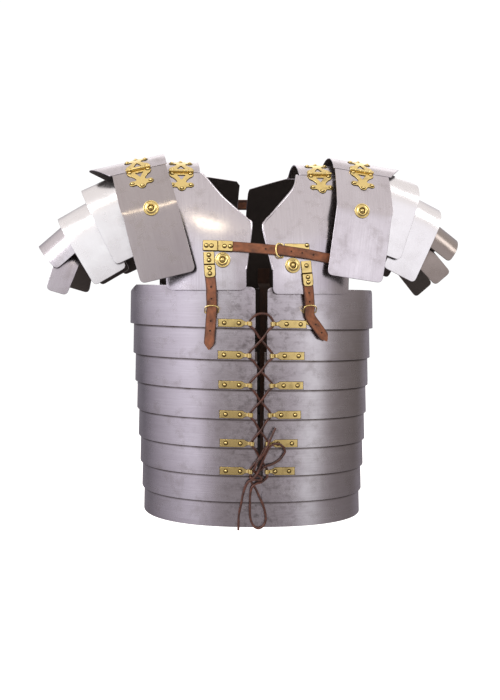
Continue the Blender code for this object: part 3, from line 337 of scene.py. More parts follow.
class Hoop:
    """The outer side of one half hoop: distance round from its front edge, height and lift."""

    def __init__(self, i, side):
        self.i, self.side = i, side
        wide, deep = HOOPS[i]["wide"], HOOPS[i]["deep"]
        front = HOOPS[i]["left" if side > 0 else "right"] - GIRTH_X
        self.angles = np.linspace(-edge_angle(wide, front), edge_angle(wide, BACK_EDGE), 400)
        line = np.array([around(wide, deep, a) for a in self.angles])
        self.far = distances(line)
        self.length = float(self.far[-1])

    def point(self, s, z, lift=0.0):
        angle = float(np.interp(s, self.far, self.angles))
        wide, deep = hoop_size(self.i, z)
        x, y = around(wide, deep, angle)
        slope_x = (abs(x) / wide) ** (ROUNDNESS - 1) / wide
        slope_y = math.copysign((abs(y) / deep) ** (ROUNDNESS - 1) / deep, y)
        normal = Vector((slope_x, slope_y)).normalized() * lift
        return GIRTH_POSE @ Vector((self.side * (x + normal.x), y + normal.y, z))

    def armpit(self, s):
        """How far the first hoop's top dips at the side of the body."""
        y = self.point(s, hoop_top(0)).y
        return ARMPIT_DIP * max(0.0, 1 - (y / 0.055) ** 2)


class Band:
    """A run of bent plate over the shoulder: a side profile carried along a leaning width."""

    def __init__(self, side, corner, lean, front, back):
        a = math.radians(lean)
        self.side = side
        self.out = Vector((side * math.cos(a), 0, -math.sin(a)))
        self.up = Vector((side * math.sin(a), 0, math.cos(a)))
        self.corner = Vector((side * corner[0], corner[1], corner[2]))
        ahead, behind = (self.run(table, way) for table, way in ((front, -1), (back, 1)))
        self.line = np.vstack([ahead[::-1], behind[1:]])
        self.bend_in = None

    @staticmethod
    def run(table, way, step=0.001):
        """Rows of arc length, y, height and slope, from the crest to one end."""
        rows = [(0.0, 0.0, 0.0, 0.0)]
        slope = 0.0
        for length, end in table:
            count = max(1, round(length / step))
            ds = length / count
            for k in range(count):
                s, y, w, _ = rows[-1]
                angle = math.radians(slope + (end - slope) * (k + 0.5) / count)
                reached = math.radians(slope + (end - slope) * (k + 1) / count)
                rows.append((s + way * ds, y + way * math.cos(angle) * ds, w - math.sin(angle) * ds,
                             -way * reached))
            slope = end
        return np.array(rows)

    def point(self, across, along, lift=0.0):
        s = self.line[:, 0]
        y, w, slope = (float(np.interp(along, s, self.line[:, k])) for k in (1, 2, 3))
        y -= math.sin(slope) * lift
        w += math.cos(slope) * lift
        place = self.corner + self.out * across + self.up * w + Vector((0, y, 0))
        if self.bend_in:
            place.y += self.bend_in(abs(place.x), along)
        return place

    def along_at(self, z, back):
        line = self.line[self.line[:, 0] >= 0] if back else self.line[self.line[:, 0] <= 0][::-1]
        return float(np.interp(self.corner.z - z, -line[:, 2], line[:, 0]))

    def chest(self, x, z, lift, back=False):
        return self.point(x - abs(self.corner.x), self.along_at(z, back), lift)


def collar_band(side):
    band = Band(side, COLLAR[side], 0, COLLAR_FRONT, COLLAR_BACK)

    def follow_chest(x, along):
        hinge = COLLAR_FRONT[0][0] if along < 0 else COLLAR_BACK[0][0]
        share = min(1.0, max(0.0, (abs(along) - hinge) / CHEST_ROUND))
        far = min(0.95, abs(x) / HOOPS[0]["wide"])
        inward = HOOPS[0]["deep"] * (1 - (1 - far ** ROUNDNESS) ** (1 / ROUNDNESS)) * share
        return inward if along < 0 else -inward

    band.bend_in = follow_chest
    return band


def guard_band(side):
    x, y, z, lean = GUARD[side]
    return Band(side, (x, y, z), lean, GUARD_FRONT, GUARD_BACK)


def lame_band(side, lame):
    """The band of a lesser guard; across is negative, inward from its outer crest corner."""
    tables = []
    for drop in (lame["drop_f"], lame["drop_b"]):
        bend = min(0.030, 0.4 * drop)
        fallen = -Band.run([(lame["run"], 42), (bend, 82)], 1)[-1][2]
        rest = max(0.004, (drop - fallen) / math.sin(math.radians(84)))
        tables.append([(lame["run"], 42), (bend, 82), (rest, 86)])
    return Band(side, (lame["x"], LAME_Y, lame["z"]), lame["lean"], *tables), tables


def front_point(x, z, lift):
    """On the breastplates, and over the gap between them."""
    return collar_band_of[-1 if x < 0 else 1].chest(abs(x), z, lift)


def hanging_point(x, z, lift):
    """Down from a breastplate's lower edge to the first hoop, and straight down from there."""
    if z > STRAP_LEAVES:
        return front_point(x, z, lift)
    y_high = front_point(x, STRAP_LEAVES, lift).y
    y_low = -girth_y(0, x - GIRTH_X, max(z, HOOPS[0]["low"]), 0, True) - lift
    share = min(1.0, (STRAP_LEAVES - z) / (STRAP_LEAVES - STRAP_LANDS))
    return Vector((x, y_high + (y_low - y_high) * share, z))


collar_band_of = {side: collar_band(side) for side in SIDES}


def smooth_line(points, count, cyclic=False):
    """Points at even distances on a smooth curve through the given ones."""
    p = np.array([tuple(v) for v in points], float)
    ends = np.vstack([p[-1], p, p[0], p[1]] if cyclic else [2 * p[0] - p[1], p, 2 * p[-1] - p[-2]])
    fine = []
    for a, b, c, d in zip(ends, ends[1:], ends[2:], ends[3:]):
        for t in np.linspace(0, 1, 24, endpoint=False):
            fine.append(0.5 * (2 * b + (c - a) * t + (2 * a - 5 * b + 4 * c - d) * t ** 2
                               + (3 * b - a - 3 * c + d) * t ** 3))
    fine = np.array(fine + [ends[-2]])
    far = distances(fine)
    at = np.linspace(0, far[-1], count, endpoint=not cyclic)
    return [Vector([np.interp(s, far, fine[:, k]) for k in range(p.shape[1])]) for s in at]


def tie_end(i, side, back):
    """How far a loop's end lies from the girth's middle."""
    return TIE_ENDS[1][i] + 0.001 if back else TIE_ENDS[side][i] - side * GIRTH_X


def tie_spot(i, side, back):
    """The middle of a loop's rolled end, in the girth's own x and z."""
    return side * (tie_end(i, side, back) + TIE_ROLL), HOOPS[i]["low"] + TIE_ABOVE_EDGE


def lace_crossing(i, side, lift, back):
    """From the upper loop on one side to the next lower one on the other side."""
    (x_0, z_0), (x_1, z_1) = tie_spot(i, side, back), tie_spot(i + 1, -side, back)
    edge = HOOPS[i]["low"] - EDGE_DROP
    share = (z_0 - edge) / (z_0 - z_1)
    return [girth_point(i, x_0, z_0 + 0.0040, LACE_LIFT, back),
            girth_point(i, x_0, z_0 - 0.0035, LACE_LIFT, back),
            girth_point(i, x_0 + (x_1 - x_0) * share, edge, LACE_LIFT + EDGE_LIFT, back),
            girth_point(i + 1, (x_0 + x_1) / 2, (z_0 + z_1) / 2, lift, back)]


def lace_climb(side, lifts, back):
    """Upward through six loops, crossing each time; side is that of the lowest loop."""
    x, z = tie_spot(5, side, back)
    climb = [girth_point(5, x, HOOPS[5]["low"] - EDGE_DROP, LACE_LIFT + EDGE_LIFT, back),
             girth_point(5, x, z - 0.0035, LACE_LIFT, back), girth_point(5, x, z + 0.0040, LACE_LIFT, back)]
    for i in range(4, -1, -1):
        side = -side
        climb += reversed(lace_crossing(i, side, lifts[i % 2], back))
    return climb


def bow_points(table):
    """Points of the bow on the hoop that is outermost at their height."""
    out = []
    for across, up, lift in table:
        x, z = KNOT[0] + across / 1000, KNOT[1] + up / 1000
        i = next((k for k, hoop in enumerate(HOOPS) if z >= hoop["low"] - 0.004), len(HOOPS) - 1)
        out.append(girth_point(i, x, z, lift / 1000))
    return out


def lace_points(back):
    """The whole lace: up through the loops on one course, over the top, and down on the other."""
    up = lace_climb(1, (CROSS_UNDER, CROSS_OVER), back)
    down = lace_climb(-1, (CROSS_OVER, CROSS_UNDER), back)[::-1]
    z = HOOPS[0]["low"] + TIE_ABOVE_EDGE
    over = [girth_point(0, x, z + rise, LACE_LIFT + EDGE_LIFT, back)
            for x, rise in ((-0.0130, 0.0115), (-0.0060, 0.0150), (0.0050, 0.0150), (0.0110, 0.0115))]
    if back:
        ends = [[girth_point(7, way * 0.031, -0.548, LACE_LIFT, True),
                 girth_point(6, way * 0.025, HOOPS[6]["low"] - EDGE_DROP, LACE_LIFT + 0.0009, True),
                 girth_point(6, way * 0.019, -0.500, LACE_LIFT + 0.0003, True)] for way in (1, -1)]
        return ends[0] + up + over + down + ends[1][::-1]
    return (bow_points(FREE_END + WRAP + LOWER_LOOP + TO_TIE) + up + over + down
            + bow_points(FROM_TIE + SIDE_LOOP + STEM))


# Cutting and shaping

def rounded(corners, radius, facets=6):
    """A closed outline with round corners; radius is one number, or one for each corner."""
    out = []
    count = len(corners)
    for n in range(count):
        before, here, after = (Vector(corners[(n + k) % count]) for k in (-1, 0, 1))
        r = radius[n] if isinstance(radius, (list, tuple)) else radius
        back, on = (before - here), (after - here)
        if r <= 0 or back.length < 1e-7 or on.length < 1e-7:
            out.append(tuple(here))
            continue
        half = back.angle(on) / 2
        cut = min(r / max(math.tan(half), 1e-3), 0.48 * back.length, 0.48 * on.length)
        start, end = here + back.normalized() * cut, here + on.normalized() * cut
        for t in spread(0, 1, facets):
            out.append(tuple(start.lerp(here, t).lerp(here.lerp(end, t), t)))
    return out


def along_edges(outline, step):
    """The outline with points added so that no side of it is longer than step, in each direction."""
    out = []
    for a, b in zip(outline, outline[1:] + outline[:1]):
        a, b = Vector(a), Vector(b)
        gap = max(abs((b - a).x) / step[0], abs((b - a).y) / step[1])
        parts = max(1, math.ceil(gap))
        out += [tuple(a.lerp(b, k / parts)) for k in range(parts)]
    return out


def circle(x, y, radius, facets=12):
    return [(x + radius * math.cos(a), y + radius * math.sin(a)) for a in spread(0, math.tau, facets)[:-1]]


def inside(points, outline):
    """Which of the points lie inside a closed outline."""
    x, y = points[:, 0], points[:, 1]
    hit = np.zeros(len(points), bool)
    ring = np.array(outline)
    for (x_0, y_0), (x_1, y_1) in zip(ring, np.roll(ring, -1, axis=0)):
        if y_0 != y_1:
            crosses = (y_0 > y) != (y_1 > y)
            hit ^= crosses & (x < (x_1 - x_0) * (y - y_0) / (y_1 - y_0) + x_0)
    return hit


def inset(outline, distance):
    """The outline moved inward by a small distance."""
    ring = np.array(outline)
    area = 0.5 * np.sum(ring[:, 0] * np.roll(ring[:, 1], -1) - np.roll(ring[:, 0], -1) * ring[:, 1])
    before, after = ring - np.roll(ring, 1, axis=0), np.roll(ring, -1, axis=0) - ring

    def left(v):
        size = np.linalg.norm(v, axis=1, keepdims=True)
        v = v / np.maximum(size, 1e-9)
        return np.stack([-v[:, 1], v[:, 0]], axis=1)

    normal = left(before) + left(after)
    size = np.maximum(np.linalg.norm(normal, axis=1, keepdims=True), 0.7)
    return ring + (distance if area > 0 else -distance) * 2 * normal / size ** 2


class Piece:
    """Collects the closed solids of one piece, then makes its object.

    Its shift moves it on the flat sheet, so that no two plates have the same marks.
    """

    def __init__(self, name, shift=(0, 0.0)):
        self.name, self.shift = name, shift
        self.points, self.flat, self.faces, self.finishes = [], [], [], []

    def add(self, points, flat, faces, finish=0):
        base = len(self.points)
        self.points += [tuple(p) for p in points]
        self.flat += [(f[0] + self.shift[0], f[1] + self.shift[1]) for f in flat]
        self.faces += [tuple(base + int(k) for k in face) for face in faces]
        self.finishes += [finish] * len(faces)

    def cut(self, outline, place, low, high, step=(0.008, 0.008), holes=(), edge=0.0003, finish=0, back=None,
            shadow_skirt=0.0):
        """A sheet cut to an outline, laid with place(u, v, lift), with its upper edges rounded.

        With shadow_skirt set, its walls, its underside and a ring this far round its foot take the dark second
        finish, as painted shadow.
        """
        rims = [np.array(along_edges(list(ring), step)) for ring in (outline, *holes)]
        tops = [inset(rim, edge if n == 0 else -edge) for n, rim in enumerate(rims)]
        low_corner, high_corner = rims[0].min(axis=0), rims[0].max(axis=0)
        counts = [max(1, round((high_corner[k] - low_corner[k]) / step[k])) for k in (0, 1)]
        grid = np.array([(x, y) for y in np.linspace(low_corner[1], high_corner[1], counts[1] + 1)
                         for x in np.linspace(low_corner[0], high_corner[0], counts[0] + 1)])
        ring = np.vstack(tops)
        near = np.full(len(grid), np.inf)
        for spot in ring:
            near = np.minimum(near, np.linalg.norm((grid - spot) / step, axis=1))
        grid = grid[self.on_sheet(grid, tops) & (near > 0.35)]
        links, start = [], 0
        for top in tops:
            links += [(start + k, start + (k + 1) % len(top)) for k in range(len(top))]
            start += len(top)
        spots = np.vstack([ring, grid])
        scaled = [Vector(p) for p in (spots - low_corner) / step]
        _, _, faces, sources, _, _ = delaunay_2d_cdt(scaled, links, [], 0, 1e-6)
        faces = [tuple(sources[k][0] for k in face) for face in faces]
        middles = np.array([spots[list(face)].mean(axis=0) for face in faces])
        faces = [face for face, kept in zip(faces, self.on_sheet(middles, tops)) if kept]
        self.add([place(u, v, high) for u, v in spots], spots, faces, finish)
        self.add([place(u, v, low) for u, v in spots], spots, faces, finish if back is None else back)
        turns = [(1 - math.sin(a), edge * (1 - math.cos(a))) for a in spread(0, math.pi / 2, 3)]
        rows = [(share, high - drop) for share, drop in turns]
        rows += [(0.0, low + 0.0002), (-shadow_skirt / edge, low), (1.0, low)] if shadow_skirt else [(0.0, low), (1.0, low)]
        for rim, top in zip(rims, tops):
            points, flat = [], []
            for share, lift in rows:
                line = rim + (top - rim) * share
                points += [place(u, v, lift) for u, v in line]
                flat += [tuple(p) for p in line]
            count = len(rim)
            self.add(points, flat, self.bands(len(rows), count), finish)
            # painted shadow: the walls, the ring round the foot and the underside in the dark finish
            if shadow_skirt:
                self.finishes[-3 * count:] = [1] * (3 * count)

    @staticmethod
    def on_sheet(points, rings):
        kept = inside(points, rings[0])
        for hole in rings[1:]:
            kept &= ~inside(points, hole)
        return kept

    @staticmethod
    def bands(rows, count, closed=False):
        """Faces between rows of points, each row a closed ring."""
        return [(r * count + k, ((r + 1) % rows) * count + k, ((r + 1) % rows) * count + (k + 1) % count,
                 r * count + (k + 1) % count) for r in range(rows if closed else rows - 1)
                for k in range(count)]

    def loft(self, sections, finish=0):
        """A closed body through four-cornered sections."""
        flat, far = [], 0.0
        middles = [sum(section, Vector()) / len(section) for section in sections]
        for n, section in enumerate(sections):
            far += (middles[n] - middles[n - 1]).length if n else 0.0
            half = (section[1] - section[0]).length / 2
            flat += [(far, -half), (far, half), (far, half), (far, -half)]
        count = len(sections[0])
        faces = self.bands(len(sections), count)
        faces += [tuple(range(count)), tuple(range((len(sections) - 1) * count, len(sections) * count))]
        self.add([p for section in sections for p in section], flat, faces, finish)

    def turned(self, profile, middle, normal, facets=24, finish=0):
        """A round piece turned about its normal, from radius and height along its section."""
        pose = Matrix.Translation(middle) @ normal.to_track_quat("Z", "Y").to_matrix().to_4x4()
        flat = [Vector((radius * math.cos(a), radius * math.sin(a), height)) for radius, height in profile
                for a in spread(0, math.tau, facets)[:-1]]
        faces = self.bands(len(profile), facets)
        faces += [tuple(range(facets)), tuple(range((len(profile) - 1) * facets, len(profile) * facets))]
        self.add([pose @ spot for spot in flat], [(spot.x, spot.y) for spot in flat], faces)
        bands = finish if isinstance(finish, list) else [finish] * (len(profile) - 1)
        self.finishes[-len(faces):] = [band for band in bands for _ in range(facets)] + [bands[0], bands[-1]]

    def wire(self, points, radius, facets=10, cyclic=False, finish=0):
        """A round wire or turned rim along points."""
        count = len(points)
        spots, flat = [], []
        far, side = 0.0, None
        for n, spot in enumerate(points):
            before = points[n - 1] if n or cyclic else spot
            after = points[(n + 1) % count] if n < count - 1 or cyclic else spot
            way = (after - before).normalized()
            side = way.orthogonal() if side is None else side
            side = (side - way * side.dot(way)).normalized()
            across = way.cross(side)
            for k in range(facets):
                a = math.tau * k / facets
                spots.append(spot + (side * math.cos(a) + across * math.sin(a)) * radius)
                flat.append((far, radius * a))
            far += (points[(n + 1) % count] - spot).length
        faces = self.bands(count, facets, cyclic)
        if not cyclic:
            faces += [tuple(range(facets)), tuple(range((count - 1) * facets, count * facets))]
        self.add(spots, flat, faces, finish)

    def make(self, materials, replaces=(), bevel=0.0):
        """The finished object, riding on the armour."""
        mesh = bpy.data.meshes.new(self.name)
        mesh.from_pydata(self.points, [], self.faces)
        layer = mesh.uv_layers.new(name="flat")
        loops = np.zeros(len(mesh.loops), int)
        mesh.loops.foreach_get("vertex_index", loops)
        layer.data.foreach_set("uv", np.array(self.flat)[loops].ravel())
        for material in materials:
            mesh.materials.append(material)
        mesh.polygons.foreach_set("material_index", self.finishes)
        shape = bmesh.new()
        shape.from_mesh(mesh)
        bmesh.ops.remove_doubles(shape, verts=shape.verts, dist=0.000003)
        bmesh.ops.recalc_face_normals(shape, faces=shape.faces)
        shape.to_mesh(mesh)
        shape.free()
        mesh.shade_smooth()
        mesh.set_sharp_from_angle(angle=math.radians(40))
        obj = bpy.data.objects.new(self.name, mesh)
        bpy.context.scene.collection.objects.link(obj)
        if bevel:
            rounding = obj.modifiers.new("Filed edges", "BEVEL")
            rounding.width = bevel
            rounding.segments = 2
            rounding.limit_method = "ANGLE"
            rounding.angle_limit = math.radians(40)
        even = obj.modifiers.new("Even shading", "WEIGHTED_NORMAL")
        even.keep_sharp = True
        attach(obj, BODY)
        if replaces:
            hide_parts(*replaces)
        return obj


# Materials

def feed(tree, node, inputs):
    """Sets inputs of a node, each to a value or from another node's socket."""
    for name, value in inputs.items():
        if isinstance(value, bpy.types.NodeSocket):
            tree.links.new(value, node.inputs[name])
        else:
            node.inputs[name].default_value = value


def add_node(tree, kind, inputs=None, **attributes):
    """Adds a node, and sets its attributes before its inputs."""
    made = tree.nodes.new(kind)
    for name, value in attributes.items():
        setattr(made, name, value)
    feed(tree, made, inputs or {})
    return made


def mapped(tree, value, low, high, to_low=0.0, to_high=1.0, soft=False):
    """A value carried from one range to another, easing at both ends where soft."""
    return add_node(tree, "ShaderNodeMapRange", {"Value": value, "From Min": low, "From Max": high,
                                                 "To Min": to_low, "To Max": to_high},
                    interpolation_type="SMOOTHSTEP" if soft else "LINEAR").outputs["Result"]


def mixed(tree, factor, a, b):
    """A colour from a to b; each of the three is a value or a socket."""
    a, b = (c if isinstance(c, bpy.types.NodeSocket) else (*c, 1) for c in (a, b))
    made = add_node(tree, "ShaderNodeMix", {"Factor": factor, "A": a, "B": b}, data_type="RGBA")
    return made.outputs["Result"]


def calculated(tree, operation, *values):
    return add_node(tree, "ShaderNodeMath", dict(enumerate(values)), operation=operation).outputs["Value"]


def bumped(tree, height, strength, distance, **under):
    """A normal tilted by a height, over another normal where one is given."""
    return add_node(tree, "ShaderNodeBump", {"Height": height, "Strength": strength, "Distance": distance,
                                             **under}).outputs["Normal"]


def flat_sheet(tree):
    return add_node(tree, "ShaderNodeUVMap", uv_map="flat").outputs["UV"]


def noise(tree, place, scale, detail, roughness=0.5):
    return add_node(tree, "ShaderNodeTexNoise", {"Vector": place, "Scale": scale, "Detail": detail,
                                                 "Roughness": roughness}).outputs["Fac"]


def flat_noise(tree, flat, along, across, detail=2.0, roughness=0.5):
    """Noise on the flat sheet with marks this long and this far apart, in metres."""
    stretched = add_node(tree, "ShaderNodeMapping", {"Vector": flat, "Scale": (1 / across, 1 / along, 1)})
    return noise(tree, stretched.outputs["Vector"], 1.0, detail, roughness)


def hide_grain(tree, place, scale):
    return add_node(tree, "ShaderNodeTexVoronoi", {"Vector": place, "Scale": scale}).outputs["Distance"]


def toned(colour, share):
    return tuple(share * c for c in colour)


def new_material(name):
    """A new material with its tree and shader; the tree is None where the material is there already."""
    made = bpy.data.materials.get(name)
    if made:
        return made, None, None
    made = bpy.data.materials.new(name)
    made.use_nodes = True
    tree = made.node_tree
    return made, tree, tree.nodes["Principled BSDF"]


def hoop_lap_shade_and_smudges(tree, flat, cloud, colour):
    """Painted shade: a dark, patchy line on the hoop just under the edge of the hoop above, where that edge
    shades it; and real handling smudges beside the lacing.
    """
    parts = add_node(tree, "ShaderNodeSeparateXYZ", {"Vector": flat}).outputs
    # painted shade: darkest just below the upper hoop's edge, fading out 4.6 mm lower, made patchy by the cloud
    near = mapped(tree, parts["Y"], -0.0046, -0.0008, soft=True)
    line = calculated(tree, "MULTIPLY", near, mapped(tree, cloud, 0.3, 0.6, 0.75))
    # real handling smudges, in blots near the front edge beside the lacing
    beside = mapped(tree, calculated(tree, "FRACT", parts["X"]), 0.095, 0.0, soft=True)
    blots = mapped(tree, flat_noise(tree, flat, 0.012, 0.014, 6.0, 0.75), 0.48, 0.70, to_high=0.75)
    dark = calculated(tree, "MAXIMUM", line, calculated(tree, "MULTIPLY", beside, blots))
    return mixed(tree, dark, colour, linear("#5A504B"))


def brushed_steel(name, round_hoop, bright, dull):
    """Mild steel sheet, brushed with a belt: soft stretched reflections, fine parallel marks, faint stains.

    The belt marks are 0.3 mm apart on the real sheet, too fine to show, so they are drawn 1.8 mm apart.
    """
    plates = settings()[0]
    made, tree, shader = new_material(name)
    if tree is None:
        return made
    flat = grain_flat = flat_sheet(tree)
    if round_hoop:
        grain_flat = add_node(tree, "ShaderNodeMapping", {"Vector": flat, "Rotation": (0, 0, math.radians(90))}
                              ).outputs["Vector"]
    fine = flat_noise(tree, grain_flat, 0.060, 0.0018, 3.0, 0.6)
    broad = flat_noise(tree, grain_flat, 0.150, 0.0300, 2.0)
    cloud = flat_noise(tree, flat, 0.030, 0.030, 5.0, 0.65)
    wave = flat_noise(tree, flat, 0.080, 0.060, 1.0)
    marks = add_node(tree, "ShaderNodeMix", {"Factor": 0.45, "A": fine, "B": broad}, data_type="FLOAT")
    colour = mixed(tree, mapped(tree, marks.outputs["Result"], 0.25, 0.75), plates.shade, plates.steel)
    colour = mixed(tree, mapped(tree, cloud, 0.52, 0.75, to_high=0.40), colour, plates.stain_and_shade)
    if round_hoop:
        colour = hoop_lap_shade_and_smudges(tree, flat, cloud, colour)
    # painted highlight: carried towards near white as far as bright says
    colour = mixed(tree, bright, colour, (0.94, 0.94, 0.95))
    tangent = add_node(tree, "ShaderNodeTangent", direction_type="UV_MAP", uv_map="flat")
    # carried towards the stains' grey-brown as far as dull says; on the outer lesser guards that is painted
    # shade
    feed(tree, shader, {
        "Base Color": mixed(tree, dull, colour, plates.stain_and_shade), "Metallic": 1.0,
        "Roughness": mapped(tree, cloud, 0.3, 0.7, 0.19, 0.31), "Tangent": tangent.outputs["Tangent"],
        "Anisotropic": 0.4, "Anisotropic Rotation": 0.0 if round_hoop else 0.25,
        "Normal": bumped(tree, fine, 0.10, 0.0002, Normal=bumped(tree, wave, 0.5, 0.0012))})
    return made


def blackened_steel():
    """Mild steel, oil-blackened on the inner side: nearly black, with a dull brown sheen."""
    plates = settings()[0]
    made, tree, shader = new_material("Mild steel, oil-blackened")
    if tree:
        cloud = flat_noise(tree, flat_sheet(tree), 0.020, 0.020, 4.0, 0.6)
        feed(tree, shader, {"Base Color": mixed(tree, cloud, toned(plates.inside, 0.45), plates.inside),
                            "Metallic": 0.2, "Roughness": 0.6})
    return made


def polished_brass(name="Brass, polished", tarnish_and_shade=False):
    """Sheet brass, cut and polished by hand: warm bright gloss with duller, browner patches."""
    fittings = settings()[1]
    made, tree, shader = new_material(name)
    if tree is None:
        return made
    place = add_node(tree, "ShaderNodeTexCoord").outputs["Object"]
    blotch, scuff = noise(tree, place, 90.0, 3.0), noise(tree, place, 700.0, 2.0)
    # the dark brass: real tarnish in hollows, and painted shade round fittings and rivets
    base = fittings.tarnish if tarnish_and_shade else fittings.brass
    gloss = (0.45, 0.65) if tarnish_and_shade else (0.18, 0.34)
    feed(tree, shader, {
        "Base Color": mixed(tree, mapped(tree, blotch, 0.52, 0.80, to_high=0.45), base, fittings.tarnish),
        "Roughness": mapped(tree, blotch, 0.0, 1.0, *gloss), "Metallic": 1.0,
        "Normal": bumped(tree, scuff, 0.05, 0.00005)})
    return made


def strap_leather(name="Cowhide, waxed strap", tone=1.0, half=0.0076):
    """Cowhide, vegetable-tanned and waxed: warm brown, pebbled grain, burnished dark along its cut edges.

    Hide grain is 0.4 mm, too fine to show, so it is drawn at 0.9 mm.
    """
    leather = settings()[2]
    made, tree, shader = new_material(name)
    if tree is None:
        return made
    flat = flat_sheet(tree)
    cloud = flat_noise(tree, flat, 0.009, 0.016, 4.0, 0.6)
    across = add_node(tree, "ShaderNodeSeparateXYZ", {"Vector": flat}).outputs["Y"]
    rim = mapped(tree, calculated(tree, "ABSOLUTE", across), half - 0.0022, half, to_high=0.8, soft=True)
    body = mixed(tree, mapped(tree, cloud, 0.3, 0.7), toned(leather.hide, 0.40 * tone),
                 toned(leather.hide, 1.3 * tone))
    feed(tree, shader, {
        "Base Color": mixed(tree, rim, body, leather.edge), "IOR": 1.5,
        "Roughness": mapped(tree, cloud, 0.0, 1.0, 0.42, 0.66),
        "Normal": bumped(tree, hide_grain(tree, flat, 1 / 0.0009), 0.35, 0.0003)})
    return made


def leather_in_painted_shade():
    """The strap leather at 0.22 of its tone, as painted shade: for the straps inside the armour and the plugs
    in the punched holes.
    """
    return strap_leather("Cowhide, darkened as painted shade", 0.22, 0.011)


def lace_leather():
    """Calf lace, rolled round and waxed: dark brown with a soft gloss and paler rubbed places."""
    leather = settings()[2]
    made, tree, shader = new_material("Calf lace, waxed")
    if tree is None:
        return made
    place = add_node(tree, "ShaderNodeTexCoord").outputs["Object"]
    rubbed = mapped(tree, noise(tree, place, 110.0, 4.0), 0.35, 0.7)
    feed(tree, shader, {
        "Base Color": mixed(tree, rubbed, toned(leather.cord, 0.45), toned(leather.cord, 1.35)),
        "Roughness": 0.45, "IOR": 1.5,
        "Normal": bumped(tree, hide_grain(tree, place, 900.0), 0.3, 0.0002)})
    return made


# The outer side of the plates: material, brushed round a hoop or not, how far whitened, how far darkened
# towards the stains' grey-brown
STEEL = {
    # belt marks run round the body, so each hoop's light is drawn out upward
    "hoop": ("Mild steel, brushed round", True, 0.0, 0.0),
    # belt marks run down the plate, so its light is drawn out sideways
    "plate": ("Mild steel, brushed down", False, 0.0, 0.0),
    # darker: halfway to the stains' grey-brown
    "dull": ("Mild steel, brushed and darkened", False, 0.0, 0.5),
    # painted shade: carried nearly all the way to the stains' grey-brown, the darkest of the outer sides
    "grey": ("Mild steel, darkened as painted shade", False, 0.0, 0.95),
    # painted highlight: carried most of the way to near white all over, for the first two lesser guards
    "lame": ("Mild steel, whitened as painted highlight", False, 0.8, 0.0),
}


def brass_finishes():
    # second finish: dark brass, for tarnish and for painted shade
    return [polished_brass(), polished_brass("Brass, tarnished", True)]


DOME = [(1.0, -0.10), (1.0, 0.12), (0.96, 0.34), (0.82, 0.56), (0.60, 0.72), (0.32, 0.81), (0.06, 0.84)]


def rivet(piece, place, u, v, lift, radius):
    """A domed rivet head in a dark brass ring, standing on place(u, v, lift); the ring is tarnish and painted
    contact shade.
    """
    step = 0.0005
    middle = place(u, v, lift)
    normal = (place(u + step, v, lift) - middle).cross(place(u, v + step, lift) - middle).normalized()
    if normal.dot(place(u, v, lift + step) - middle) < 0:
        normal = -normal
    # tarnish and painted shade: a flat dark ring round the head
    piece.turned([(1.55 * radius, -0.0001), (1.55 * radius, 0.00006), (1.5 * radius, 0.0001)], middle, normal,
                 20, finish=1)
    piece.turned([(r * radius, h * radius) for r, h in DOME], middle, normal, 20)


# Pieces

def strip_outline(stations, low_corner, top_corner=0.0015):
    """A plate's outline from its stations: place along it, inner edge and outer edge."""
    inner = [(a, s) for s, a, _ in stations]
    sparse = [stations[0]]
    sparse += [row for row in stations[1:-1] if abs(row[0] - stations[0][0]) > 0.012
               and abs(row[0] - stations[-1][0]) > 0.012]
    outer = [(b, s) for s, _, b in reversed(sparse + [stations[-1]])]
    radii = [top_corner] + [0] * (len(inner) - 2) + [low_corner, low_corner] + [0] * (len(outer) - 2)
    return rounded(inner + outer, radii + [top_corner])


def neck_stations(table, base, outer, reach, way, hinge, narrow):
    """Stations down a collar plate; a breastplate's inner edge follows the neckline, smoothed to its corner."""
    turn = next(k for k, row in enumerate(table) if row[1] < 0.02) + 1
    curve = table
    if way < 0:
        curve = [(p.x, p.y) for p in smooth_line(table[:turn], 22)] + table[turn:]
    curve = [(max(s, JOINT), inner) for s, inner in curve if s < reach - 0.015]
    curve += [(reach, edge_at(table, reach))]
    return [(way * (hinge + s), inner - base, outer - narrow * s / reach) for s, inner in curve]


def rim_along(piece, outline, place, stop, radius):
    """A turned rim down the inner edge of a collar plate, as far as stop."""
    line = []
    for u, v in outline:
        if abs(v) > stop:
            break
        line.append((u, v))
    spots = smooth_line([place(u, v, -0.0005) for u, v in line[::2]], 90)
    piece.wire(spots, radius, 12)


def make_steel(name, node, outline, place, finish, shift, step=None, lap=0.0, rim=None, rim_size=1.0):
    """A steel plate from its outline, standing for a packed node; rim is how far its turned rim reaches."""
    plates = settings()[0]
    piece = Piece(name, (shift, -lap))
    step = step or (plates.fineness, plates.fineness)
    finishes = [brushed_steel(*STEEL[finish]), blackened_steel()]
    piece.cut(outline, place, -plates.wall, 0.0, step, edge=plates.edge, back=1)
    if rim:
        rim_along(piece, outline, place, rim, plates.rim * rim_size)
    return piece.make(finishes, [node])


class LORICA_OT_laces(bpy.types.Operator):
    """Lace the girth at the front and at the back"""
    bl_idname = "lorica.laces"
    bl_label = "Laces"

    def execute(self, context):
        leather = settings()[2]
        for name, back in (("lace_front", False), ("lace_back", True)):
            spots = smooth_line(lace_points(back), 500 if back else 900)
            curve = bpy.data.curves.new(f"{name}_cord", "CURVE")
            curve.dimensions = "3D"
            curve.bevel_depth = leather.lace / 2
            curve.bevel_resolution = 3
            curve.use_fill_caps = True
            line = curve.splines.new("POLY")
            line.points.add(len(spots) - 1)
            for n, (point, spot) in enumerate(zip(line.points, spots)):
                point.co = (*spot, 1)
                point.radius = 1 + 0.05 * math.sin(n * 0.31) * math.sin(n * 0.07)
            curve.materials.append(lace_leather())
            obj = bpy.data.objects.new(f"{name}_cord", curve)
            context.scene.collection.objects.link(obj)
            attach(obj, BODY)
            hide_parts(name)
        return {"FINISHED"}


